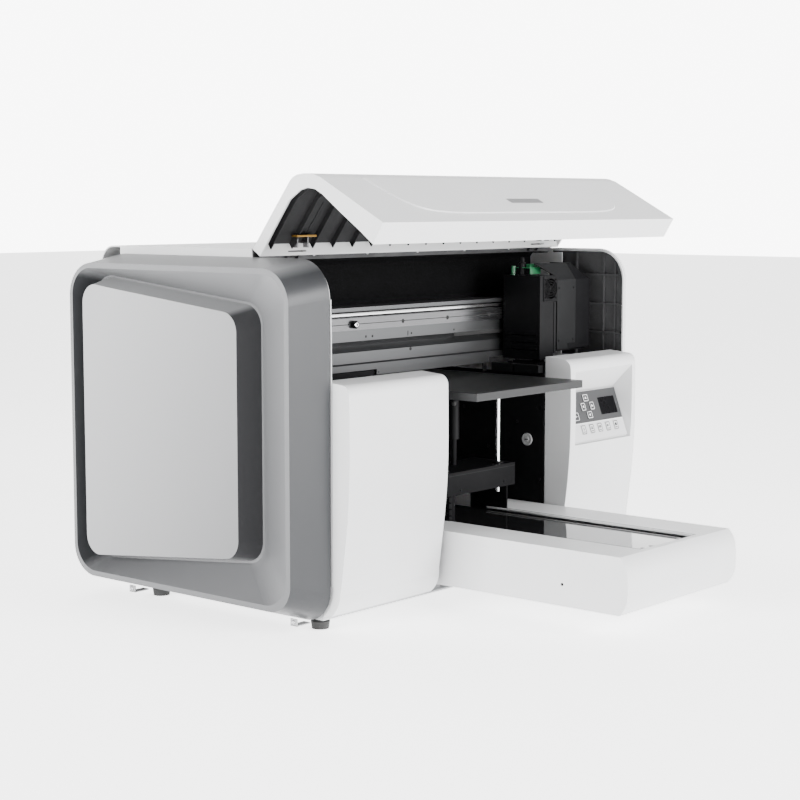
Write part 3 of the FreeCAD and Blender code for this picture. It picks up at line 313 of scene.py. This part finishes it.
def make(name, verts, faces, mat, body, bev=0.0, smooth_all=True):
    me = bpy.data.meshes.new(name)
    me.from_pydata([tuple(v) for v in verts], [], faces)
    bm = bmesh.new()
    bm.from_mesh(me)
    bmesh.ops.recalc_face_normals(bm, faces=bm.faces)
    bm.to_mesh(me)
    bm.free()
    o = bpy.data.objects.new(name, me)
    bpy.context.collection.objects.link(o)
    return finish_piece(o, mat, body, bev, smooth_all=smooth_all)

def boxp(name, x0, x1, y0, y1, z0, z1, mat, body, bev=0.3):
    v = [P(x, y, z) for x in (x0, x1) for y in (y0, y1) for z in (z0, z1)]
    f = [(0, 1, 3, 2), (4, 6, 7, 5), (0, 4, 5, 1), (2, 3, 7, 6), (0, 2, 6, 4), (1, 5, 7, 3)]
    return make(name, v, f, mat, body, bev)

def frame_of(d):
    d = Vector(d).normalized()
    a = Vector((0, 0, 1)) if abs(d.z) < 0.9 else Vector((1, 0, 0))
    u = d.cross(a).normalized()
    return d, u, d.cross(u)

def turned(name, p, d, prof, mat, body, seg=28):
    """Turned piece: prof = [(distance along d, radius)] in mm, from p."""
    d, u, w = frame_of(d)
    c = P(*p)
    verts, faces = [], []
    n = len(prof)
    for a, r in prof:
        for k in range(seg):
            t = 2 * math.pi * k / seg
            verts.append(c + (d * a + (u * math.cos(t) + w * math.sin(t)) * r) / 1000.0)
    for i in range(n - 1):
        for k in range(seg):
            j = (k + 1) % seg
            faces.append((i * seg + k, i * seg + j, (i + 1) * seg + j, (i + 1) * seg + k))
    faces.append(tuple(range(seg))[::-1])
    faces.append(tuple((n - 1) * seg + k for k in range(seg)))
    o = make(name, verts, faces, mat, body, 0.0)
    for pl in o.data.polygons:
        pl.use_smooth = len(pl.vertices) == 4
    return o

def screw(name, p, d, r, body, mat="screw"):
    """Pan-head screw with a sunk round recess."""
    turned(name, p, d, [(0, r), (r * 0.35, r), (r * 0.6, r * 0.82), (r * 0.66, r * 0.5), (r * 0.35, r * 0.46), (r * 0.3, 0.01)], mat, body, 18)

def wire(name, pts, r, mat, body, smooth_curve=True):
    cu = bpy.data.curves.new(name, "CURVE")
    cu.dimensions = "3D"
    cu.bevel_depth = r / 1000.0
    cu.bevel_resolution = 4
    cu.use_fill_caps = True
    if smooth_curve:
        sp = cu.splines.new("NURBS")
        sp.points.add(len(pts) - 1)
        for q, a in zip(sp.points, pts):
            v = P(*a)
            q.co = (v.x, v.y, v.z, 1)
        sp.use_endpoint_u = True
        sp.order_u = min(4, len(pts))
        cu.resolution_u = 8
    else:
        sp = cu.splines.new("POLY")
        sp.points.add(len(pts) - 1)
        for q, a in zip(sp.points, pts):
            v = P(*a)
            q.co = (v.x, v.y, v.z, 1)
    o = bpy.data.objects.new(name, cu)
    bpy.context.collection.objects.link(o)
    cu.materials.append(M[mat])
    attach(o, body)
    return o

# gantry: scale strip, rail slot, fixing holes; the slot, the holes, the stop's bore and the cut in the beam are flat
# black pieces of painted shade
boxp("encoder_strip", -436, 436, 88.6, 89.1, 543.4, 548.2, "strip_bright", "base", 0.0)
for i, x in enumerate((-436, 434)):
    boxp("strip_clip_%d" % i, x - 6, x + 6, 88.0, 91.0, 542.6, 549.5, "black_plastic", "base", 0.5)
# black strip of painted shade in the rail's groove
boxp("rail_slot_shade", -439, 439, 84.15, 84.7, 526.95, 528.05, "shadow_black", "base", 0.0)
# flat black discs of painted shade for the rail's counterbored holes
for i in range(6):
    x = -345.0 + i * 138.6
    turned("rail_hole_shade_%d" % i, (x, 84.0, 527.0), (0, -1, 0), [(-0.6, 4.3), (0.05, 4.3), (0.06, 4.2), (0.07, 0.01)], "shadow_black", "base", 22)
turned("rail_stop_roller", (-213, 84.0, 527.2), (0, -1, 0), [(0, 7.6), (7.5, 7.6), (8.5, 6.8), (8.5, 0.01)], "black_plastic", "base", 30)
turned("rail_stop_bore", (-213, 74.1, 527.2), (0, -1, 0), [(0, 1.9), (0.2, 1.9), (0.2, 0.01)], "shadow_black", "base", 20)
o = turned("rail_stop_nut", (-213, 75.4, 527.2), (0, -1, 0), [(0, 6.2), (1.2, 6.2), (1.2, 2.2), (0.3, 2.0), (0.3, 0.01)], "strip_bright", "base", 4)
for i, (x, z, r) in enumerate([(-168.3, 501.6, 2.6), (-149.4, 501.5, 2.6), (-32.6, 500.8, 2.2), (101.7, 500.5, 2.2), (-330, 501.6, 2.6), (-311, 501.6, 2.6), (330, 501, 2.2)]):
    turned("beam_hole_%d" % i, (x, 92.0, z), (0, -1, 0), [(-0.4, r), (0.06, r), (0.06, 0.01)], "shadow_black", "base", 20)
boxp("beam_mark", -44.6, -42.6, 91.7, 92.1, 496.5, 506.0, "shadow_black", "base", 0.0)
turned("beam_hole_low", (-37.4, 90.5, 470.4), (0, -1, 0), [(-0.4, 3.6), (0.06, 3.6), (0.06, 0.01)], "shadow_black", "base", 20)
boxp("beam_cut", 101.7, 272.0, 91.4, 92.12, 486.6, 494.4, "shadow_black", "base", 0.0)
turned("lower_plate_hole", (-136.0, 88.0, 431.0), (0, -1, 0), [(-0.3, 2.0), (0.06, 2.0), (0.06, 0.01)], "shadow_black", "base", 18)
boxp("beam_end_bar", -430, -150, 87.2, 98.0, 424.0, 436.0, "black_steel", "base", 0.6)
for i, x in enumerate((-441, 441)):
    for j, z in enumerate((470.0, 510.0)):
        screw("beam_bolt_%d_%d" % (i, j), (x, 90.2 if z < 490 else 92.0, z), (0, -1, 0), 4.5, "base")

# opening: cable plug, screws and a hole on the right wall, screws on the left one; the hole and the plug's slot are
# flat black pieces of painted shade
turned("wall_plug", (209.6, -15.7, 273.8), (-1, 0, 0), [(0, 13.0), (1.6, 13.0), (2.4, 12.0), (2.4, 9.6), (1.0, 9.2), (1.0, 5.2), (3.2, 5.0), (3.6, 4.4), (3.6, 0.01)], "light_plastic", "base", 36)
boxp("wall_plug_slot", 205.8, 206.2, -20.0, -11.4, 273.0, 274.6, "shadow_black", "base", 0.0)
turned("wall_hole", (209.6, -45.5, 342.0), (-1, 0, 0), [(-0.4, 5.5), (0.06, 5.5), (0.06, 0.01)], "shadow_black", "base", 24)
turned("wall_hole_rim", (209.6, -45.5, 342.0), (-1, 0, 0), [(0.0, 6.8), (0.5, 6.6), (0.5, 5.6), (0.1, 5.5)], "black_plastic", "base", 24)
for i, (y, z) in enumerate([(10, 309), (85, 251), (-48, 194), (-44, 120), (150, 330), (240, 200)]):
    screw("wall_screw_%d" % i, (209.6, y, z), (-1, 0, 0), 3.2, "base", "black_plastic")
    screw("wall_screw_l_%d" % i, (-173.5, y, z), (1, 0, 0), 3.2, "base", "black_plastic")

# table housing: plate screws, a black disc of painted shade in the small hole in its side, white lips along the slot
# and a black sheet of painted shade at the bottom of the slot
for i, (x, y) in enumerate([(-8, -456), (86, -456), (-36, -456), (-8, 100), (86, 100)]):
    turned("plate_screw_%d" % i, (x, y, 138.6), (0, 0, 1), [(-0.2, 4.4), (0.5, 4.3), (0.8, 3.7), (0.8, 1.9), (0.3, 1.7), (0.3, 0.01)], "screw", "base", 24)
# black disc of painted shade inside the small hole in the housing's side
turned("side_hole_shade", (-161.8, -369.5, 80.6), (-1, 0, 0), [(0.0, 2.9), (0.7, 2.6), (1.1, 1.4), (1.15, 0.01)], "shadow_black", "base", 20)
boxp("slot_lip_right", 108.0, 109.8, -470.0, 10.0, 141.0, 144.9, "white", "base", 0.3)
boxp("slot_lip_flap", 104.4, 109.6, -472.0, 10.0, 143.9, 144.9, "white", "base", 0.3)
# black sheet of painted shade at the bottom of the slot
boxp("slot_shade_sheet", -74.0, -47.5, -474.0, 400.0, 100.0, 101.5, "shadow_black", "base", 0.0)

# lift box: screws, cable down to the saddle
for i, (x, z) in enumerate([(95, 203), (-44.6, 202)]):
    screw("box_screw_%d" % i, (x, -44.0, z), (0, -1, 0), 2.6, "table", "bracket_grey")
# short bracket and rubber buffer under the platform
boxp("buffer_bracket", -44, -30, -25, -15, 372.0, 374.0, "bracket_grey", "platform_body", 0.2)
turned("buffer", (-37, -20, 372.0), (0, 0, -1), [(0, 4.5), (5.5, 4.2), (7.0, 3.0), (7.0, 0.01)], "rubber", "platform_body", 22)
boxp("box_lid_line", -89.0, 129.0, -44.12, -43.8, 231.6, 232.2, "shadow_black", "table", 0.0)
ch = []
for k in range(9):
    z = 186.0 - k * 12.5
    boxp("chain_link_%d" % k, -79.5 + 0.2 * k, -71.5 + 0.2 * k, -43.5, -30.0, z - 5.2, z + 5.2, "black_plastic", "table", 1.2)

# foot screws and the small tabs that hold the left cover
for i, y in enumerate((-33.0, 396.0)):
    o = boxp("cover_tab_%d" % i, -503, -468, y - 8, y + 8, 14.2, 16.4, "light_plastic", "base", 0.6)
    o2 = boxp("cover_tab_leg_%d" % i, -503, -500.5, y - 8, y + 8, 14.4, 27.5, "light_plastic", "base", 0.6)
    screw("cover_tab_screw_%d" % i, (-503.0, y, 21.0), (-1, 0, 0), 3.8, "base")

# ------------------------------------------------------------------ control panel: key outlines and symbols
CT, ST = math.cos(math.radians(19.9)), math.sin(math.radians(19.9))
def pp(x, s, n):
    return (x, -118.0 + s * ST - n * CT, 271.5 + s * CT + n * ST)

def rr(hw, hh, r, k=5):
    pts = []
    for cx, cy, a0 in ((hw - r, hh - r, 0), (-hw + r, hh - r, 90), (-hw + r, -hh + r, 180), (hw - r, -hh + r, 270)):
        for i in range(k + 1):
            a = math.radians(a0 + 90.0 * i / k)
            pts.append((cx + r * math.cos(a), cy + r * math.sin(a)))
    return pts

def ring(name, x, s, hw, hh, r, wd, n0, n1, mat, body):
    a, b = rr(hw, hh, r), rr(hw - wd, hh - wd, max(0.3, r - wd))
    k = len(a)
    v = [P(*pp(x + p, s + q, n0)) for p, q in a] + [P(*pp(x + p, s + q, n0)) for p, q in b]
    v += [P(*pp(x + p, s + q, n1)) for p, q in a] + [P(*pp(x + p, s + q, n1)) for p, q in b]
    f = []
    for i in range(k):
        j = (i + 1) % k
        f += [(i, j, k + j, k + i), (2 * k + i, 3 * k + i, 3 * k + j, 2 * k + j), (i, 2 * k + i, 2 * k + j, j), (k + i, k + j, 3 * k + j, 3 * k + i)]
    return make(name, v, f, mat, body, 0.0, False)

def plate(name, pts, n0, n1, mat, body):
    k = len(pts)
    v = [P(*pp(x, s, n0)) for x, s in pts] + [P(*pp(x, s, n1)) for x, s in pts]
    f = [tuple(range(k))[::-1], tuple(range(k, 2 * k))] + [(i, (i + 1) % k, k + (i + 1) % k, k + i) for i in range(k)]
    return make(name, v, f, mat, body, 0.0, False)

KEYS = {
    "key_up": (311.0, 89.4, 8.6, 7.4), "key_left": (295.5, 71.4, 7.2, 8.2), "key_right": (326.5, 71.4, 7.2, 8.2),
    "key_down": (311.0, 53.0, 8.6, 7.4), "key_enter": (262.0, 53.0, 9.0, 8.6),
    "key_f1": (276.0, 24.0, 7.4, 9.4), "key_f2": (305.2, 24.0, 7.4, 9.4), "key_f3": (334.4, 24.0, 7.4, 9.4),
    "key_f4": (363.6, 24.0, 7.4, 9.4), "key_f5": (392.8, 24.0, 7.4, 9.4)}
for k, (kx, ks, hw, hh) in KEYS.items():
    fn = k.startswith("key_f")
    ring("outline_" + k, kx, ks, hw - 0.4, hh - 0.4, 2.3, 0.9 if not fn else 1.3, 1.3, 1.62, "print_grey" if fn else "print_white", k + "_body")
tri = {"key_up": [(-3.0, -1.9), (3.0, -1.9), (0, 3.0)], "key_down": [(-3.0, 1.9), (0, -3.0), (3.0, 1.9)],
       "key_left": [(1.9, -3.0), (1.9, 3.0), (-3.0, 0)], "key_right": [(-1.9, -3.0), (3.0, 0), (-1.9, 3.0)]}
for k, t3 in tri.items():
    kx, ks = KEYS[k][:2]
    plate("symbol_" + k, [(kx + a, ks + b) for a, b in t3], 1.3, 1.62, "print_white", k + "_body")
kx, ks = KEYS["key_enter"][:2]
plate("symbol_key_enter_a", [(kx - 3.2, ks - 0.5), (kx + 3.2, ks - 0.5), (kx + 3.2, ks + 0.5), (kx - 3.2, ks + 0.5)], 1.3, 1.62, "print_white", "key_enter_body")
plate("symbol_key_enter_b", [(kx - 3.2, ks + 0.0), (kx - 1.2, ks - 2.2), (kx - 1.2, ks + 2.2)], 1.3, 1.62, "print_white", "key_enter_body")
sym = {"key_f1": [[(-0.7, 1.0), (0.7, 1.0), (0.7, 5.4), (-0.7, 5.4)]],
       "key_f2": [[(-2.6, 1.6), (2.6, 1.6), (2.6, 3.0), (-2.6, 3.0)], [(-1.4, 3.6), (1.4, 3.6), (1.4, 5.4), (-1.4, 5.4)]],
       "key_f3": [[(-2.4, 1.4), (-0.6, 1.4), (-0.6, 5.4), (-2.4, 5.4)], [(0.6, 1.4), (2.4, 1.4), (2.4, 5.4), (0.6, 5.4)]],
       "key_f4": [[(-2.4, 1.2), (2.4, 3.4), (-2.4, 5.6)]],
       "key_f5": [[(-2.2, 1.2), (2.2, 1.2), (2.2, 5.6), (-2.2, 5.6)]]}
for k, shapes in sym.items():
    kx, ks = KEYS[k][:2]
    for i, sh in enumerate(shapes):
        plate("symbol_%s_%d" % (k, i), [(kx + a * 1.35, ks + 1.6 + (b - 3.4) * 1.35) for a, b in sh], 1.3, 1.62, "print_grey", k + "_body")
    plate("underline_" + k, [(kx - 3.4, ks - 5.6), (kx + 3.4, ks - 5.6), (kx + 3.4, ks - 4.0), (kx - 3.4, ks - 4.0)], 1.3, 1.62, "print_grey", k + "_body")
plate("panel_divider", [(232.6, 37.2), (425.0, 37.2), (425.0, 38.2), (232.6, 38.2)], -0.1, 0.12, "print_white", "base")

# ------------------------------------------------------------------ carriage: fan guard, sensor posts
FX, FY, FZ = 289.0, -14.0, 580.0
for i, (a, b) in enumerate([(-18.5, -18.5), (18.5, -18.5), (-18.5, 18.5), (18.5, 18.5)]):
    screw("fan_screw_%d" % i, (FX + a, FY, FZ + b), (0, -1, 0), 2.4, "carriage", "black_steel")
for i, r in enumerate((6.0, 11.2, 16.4, 21.6)):
    pts = [(FX + r * math.cos(2 * math.pi * k / 40), FY - 1.3, FZ + r * math.sin(2 * math.pi * k / 40)) for k in range(41)]
    wire("fan_ring_%d" % i, pts, 0.8, "black_plastic", "carriage", False)
for i in range(4):
    a = math.radians(45 + 90 * i)
    wire("fan_spoke_%d" % i, [(FX + 5 * math.cos(a), FY - 1.3, FZ + 5 * math.sin(a)), (FX + 26 * math.cos(a), FY - 1.0, FZ + 26 * math.sin(a))], 0.75, "black_plastic", "carriage", False)
boxp("fan_frame_l", FX - 25.0, FX - 23.0, FY - 1.6, FY + 0.2, FZ - 24, FZ + 24, "black_plastic", "carriage", 0.4)
boxp("fan_frame_b", FX - 25.0, FX + 23.0, FY - 1.6, FY + 0.2, FZ - 26, FZ - 24, "black_plastic", "carriage", 0.4)
boxp("fan_frame_t", FX - 25.0, FX + 23.0, FY - 1.6, FY + 0.2, FZ + 24, FZ + 26, "black_plastic", "carriage", 0.4)
turned("sensor_post", (268.0, 44.0, 607.5), (0, 0, 1), [(0, 7.5), (24, 7.5), (26, 6.5), (26, 4.0), (36, 4.0), (37, 3.2), (37, 0.01)], "black_plastic", "carriage", 28)
turned("sensor_post_b", (262.0, 62.0, 607.5), (0, 0, 1), [(0, 5.0), (18, 5.0), (19, 4.0), (19, 0.01)], "pcb", "carriage", 24)
for i, (x, z) in enumerate([(320, 470), (372, 470), (320, 580), (372, 580)]):
    screw("bracket_screw_%d" % i, (x, -14.0, z), (0, -1, 0), 2.6, "carriage", "bracket_grey")
boxp("bracket_notch", 352, 378, -15.2, -13.9, 452.5, 464.0, "black_steel", "carriage", 0.5)
for i in range(6):
    boxp("lamp_fin_%d" % i, 431.8, 436.0, -4 + i * 10.0, -1.5 + i * 10.0, 470, 580, "black_steel", "carriage", 0.4)
boxp("lamp_glass", 388, 426, -6, 48, 449.4, 451.6, "lcd", "carriage", 0.3)
boxp("nozzle_plate", 264, 292, 14, 54, 430.75, 431.2, "strip_bright", "carriage", 0.0)

# wiper blade and drain in the trough
boxp("wiper_blade", 200.4, 202.2, -48.0, 2.0, 416.2, 429.6, "rubber", "base", 0.3)
turned("trough_drain", (201.3, -44.0, 416.0), (0, 0, 1), [(0, 3.6), (0.5, 3.4), (0.5, 2.2), (0.1, 0.01)], "black_plastic", "base", 20)

# ------------------------------------------------------------------ lid: raised field, badge, teeth of the liner, hinge parts
A0, A1 = (-59.1, 801.3), (-203.2, 724.1)
AL = math.hypot(A1[0] - A0[0], A1[1] - A0[1])
ty, tz = (A1[0] - A0[0]) / AL, (A1[1] - A0[1]) / AL
ny, nz = tz, -ty                 # outwards, up and to the front
if nz < 0:
    ny, nz = -ny, -nz
def L(x, s, n):
    return (x, A0[0] + s * ty + n * ny, A0[1] + s * tz + n * nz)
def lid_plate(name, pts, n0, n1, mat, inset=0.0, bev=0.0):
    k = len(pts)
    cx = sum(p[0] for p in pts) / k
    cs = sum(p[1] for p in pts) / k
    def shrink(p):
        if inset == 0:
            return p
        dx, ds = p[0] - cx, p[1] - cs
        l = math.hypot(dx, ds)
        return (p[0] - dx / l * inset, p[1] - ds / l * inset)
    v = [P(*L(x, s, n0)) for x, s in pts] + [P(*L(*shrink(p), n1)) for p in pts]
    f = [tuple(range(k))[::-1], tuple(range(k, 2 * k))] + [(i, (i + 1) % k, k + (i + 1) % k, k + i) for i in range(k)]
    return make(name, v, f, mat, "lid", bev, True)
def smooth_path(ctrl, n=10):
    out = []
    for i in range(len(ctrl) - 1):
        p0 = ctrl[max(i - 1, 0)]; p1 = ctrl[i]; p2 = ctrl[i + 1]; p3 = ctrl[min(i + 2, len(ctrl) - 1)]
        for k in range(n):
            t = k / n
            out.append(tuple(0.5 * ((2 * p1[j]) + (-p0[j] + p2[j]) * t + (2 * p0[j] - 5 * p1[j] + 4 * p2[j] - p3[j]) * t * t + (-p0[j] + 3 * p1[j] - 3 * p2[j] + p3[j]) * t ** 3) for j in (0, 1)))
    out.append(ctrl[-1])
    return out
half = [(-352.0, 2.0), (-344.0, 40.0), (-330.0, 84.0), (-307.0, 113.0), (-268.0, 128.0), (-190.0, 134.0), (0.0, 134.5)]
left = smooth_path(half)
field = left + [(-x, s) for x, s in left[::-1][1:]]
lid_plate("lid_field", field, -0.6, 2.6, "white_lid", 3.2, 1.2)
bd = [(a - 0.0, b + 91.5) for a, b in rr(51.0, 8.2, 2.0)]
bd = [(x + 26.0, s) for x, s in bd]
lid_plate("lid_badge", bd, 1.2, 3.4, "badge", 0.3, 0.3)
# teeth under the lid's back wall: the ends of the liner's ribs
LX = 457.0
for i in range(17):
    x = -LX + 20 + i * (2 * LX - 42.6) / 16.0
    if abs(x + 361) < 22 or abs(x - 382) < 22:
        continue
    v = [P(x + dx, y, z) for dx in (0, 2.2) for y, z in ((84.5, 681.0), (74.0, 686.0), (83.0, 675.5))]
    make("liner_tooth_%d" % i, v, [(0, 1, 2), (5, 4, 3), (0, 3, 4, 1), (1, 4, 5, 2), (2, 5, 3, 0)], "liner", "lid", 0.0, False)
for i, (hx, mt) in enumerate([(-365.0, "copper"), (384.0, "steel_x")]):
    boxp("hinge_bar_%d" % i, hx - 26, hx + 26, 60, 74, 695.5, 699.5, mt, "lid", 0.6)
    boxp("hinge_cheek_%d" % i, hx - 15, hx - 12, 70, 82, 676, 695.5, "steel_x", "lid", 0.4)
    boxp("hinge_cheek_b%d" % i, hx + 12, hx + 15, 70, 82, 676, 695.5, "steel_x", "lid", 0.4)
for i, hx in enumerate((-361.0, 382.0)):
    for j, dx in enumerate((-22.0, 20.6)):
        turned("hinge_nut_%d_%d" % (i, j), (hx + dx, 101.0, 666.0), (1, 0, 0), [(0, 6.0), (1.4, 6.0), (1.4, 0.01)], "steel_x", "lid", 6)
# the liner closes over the slot that each hinge leaf lies in
for i, hx in enumerate((-361.0, 382.0)):
    yz = [(90.1, 684.8), (49.5, 738.0), (31.5, 761.0), (30.3, 760.1), (48.3, 737.0), (88.9, 683.8)]
    v = [P(hx + dx, y, z) for dx in (-9.5, 9.5) for y, z in yz]
    k6 = len(yz)
    fs = [tuple(range(k6)), tuple(range(2 * k6 - 1, k6 - 1, -1))] + [(q, k6 + q, k6 + (q + 1) % k6, (q + 1) % k6) for q in range(k6)]
    make("leaf_cover_%d" % i, v, fs, "liner", "lid", 0.0, False)
for i, x in enumerate((-300, -150, 0, 150, 300)):
    screw("rail_screw_%d" % i, (x, 104.5, 662.0), (0, -1, 0), 3.4, "base")

# ------------------------------------------------------------------ back: screws
for i, (x, z) in enumerate([(-440, 40), (440, 40), (-440, 250), (440, 250), (-440, 455), (440, 455), (0, 40), (0, 455)]):
    screw("rear_screw_%d" % i, (x, 518.5, z), (0, 1, 0), 4.2, "base")
# ------------------------------------------------------------------ camera, floor and light
cam_d = bpy.data.cameras.new("cam")
cam = bpy.data.objects.new("cam", cam_d)
bpy.context.collection.objects.link(cam)
cam.location = (-2.7273 - XM / 1000.0, -2.1796 - YM / 1000.0, 0.7571)
cam_d.lens = 80.28
cam_d.sensor_width = 36.0
f = Vector((0.7558, 0.6455, -0.1099))
cam.rotation_euler = f.to_track_quat("-Z", "Y").to_euler()
cam_d.clip_end = 60
bpy.context.scene.camera = cam

bpy.ops.mesh.primitive_plane_add(size=40, location=(0, 0, 0))
floor = bpy.context.object
floor.name = "floor"
fm, ft, fb = new_mat("floor_pale", (0.95, 0.95, 0.95), 0.8)
fb.inputs["Emission Color"].default_value = (1, 1, 1, 1)
fb.inputs["Emission Strength"].default_value = 2.3
floor.data.materials.append(fm)

w = bpy.data.worlds.new("studio") if not bpy.context.scene.world else bpy.context.scene.world
bpy.context.scene.world = w
w.use_nodes = True
bg = w.node_tree.nodes["Background"]
wt = w.node_tree
wc = wt.nodes.new("ShaderNodeTexCoord")
ws = wt.nodes.new("ShaderNodeSeparateXYZ")
wt.links.new(wc.outputs["Generated"], ws.inputs["Vector"])
wr = wt.nodes.new("ShaderNodeMapRange")      # bright at the horizon, softer overhead
wr.inputs["From Min"].default_value, wr.inputs["From Max"].default_value = 0.12, 0.95
wr.inputs["To Min"].default_value, wr.inputs["To Max"].default_value = 1.6, 0.7
wt.links.new(ws.outputs["Z"], wr.inputs["Value"])
wh = wt.nodes.new("ShaderNodeMapRange")      # the sweep behind the object is brighter still
wh.inputs["From Min"].default_value, wh.inputs["From Max"].default_value = 0.14, 0.24
wh.inputs["To Min"].default_value, wh.inputs["To Max"].default_value = 7.0, 0.0
wt.links.new(ws.outputs["Z"], wh.inputs["Value"])
wd = wt.nodes.new("ShaderNodeVectorMath")    # only on the backdrop's side of the room
wd.operation = "DOT_PRODUCT"
wd.inputs[1].default_value = (0.7558, 0.6455, 0.0)
wt.links.new(wc.outputs["Generated"], wd.inputs[0])
we = wt.nodes.new("ShaderNodeMapRange")
we.inputs["From Min"].default_value, we.inputs["From Max"].default_value = 0.45, 0.8
wt.links.new(wd.outputs["Value"], we.inputs["Value"])
wm = wt.nodes.new("ShaderNodeMath")
wm.operation = "MULTIPLY"
wt.links.new(wh.outputs["Result"], wm.inputs[0])
wt.links.new(we.outputs["Result"], wm.inputs[1])
wa = wt.nodes.new("ShaderNodeMath")
wa.operation = "ADD"
wt.links.new(wr.outputs["Result"], wa.inputs[0])
wt.links.new(wm.outputs[0], wa.inputs[1])
wt.links.new(wa.outputs[0], bg.inputs["Strength"])
bg.inputs["Color"].default_value = (1, 1, 1, 1)

def area(name, loc, target, size, power, sy=None):
    d = bpy.data.lights.new(name, "AREA")
    d.energy = power
    d.size = size
    if sy:
        d.shape = "RECTANGLE"
        d.size_y = sy
    o = bpy.data.objects.new(name, d)
    bpy.context.collection.objects.link(o)
    o.location = loc
    o.rotation_euler = (Vector(target) - Vector(loc)).to_track_quat("-Z", "Y").to_euler()
    return o
area("key", (0.6, -4.0, 1.3), (0.1, 0, 0.3), 1.8, 380)
area("left", (-4.0, 0.4, 1.1), (-0.5, 0.1, 0.4), 1.2, 260)
area("top", (0.0, 1.4, 3.2), (0, 0.3, 0.5), 1.6, 55)
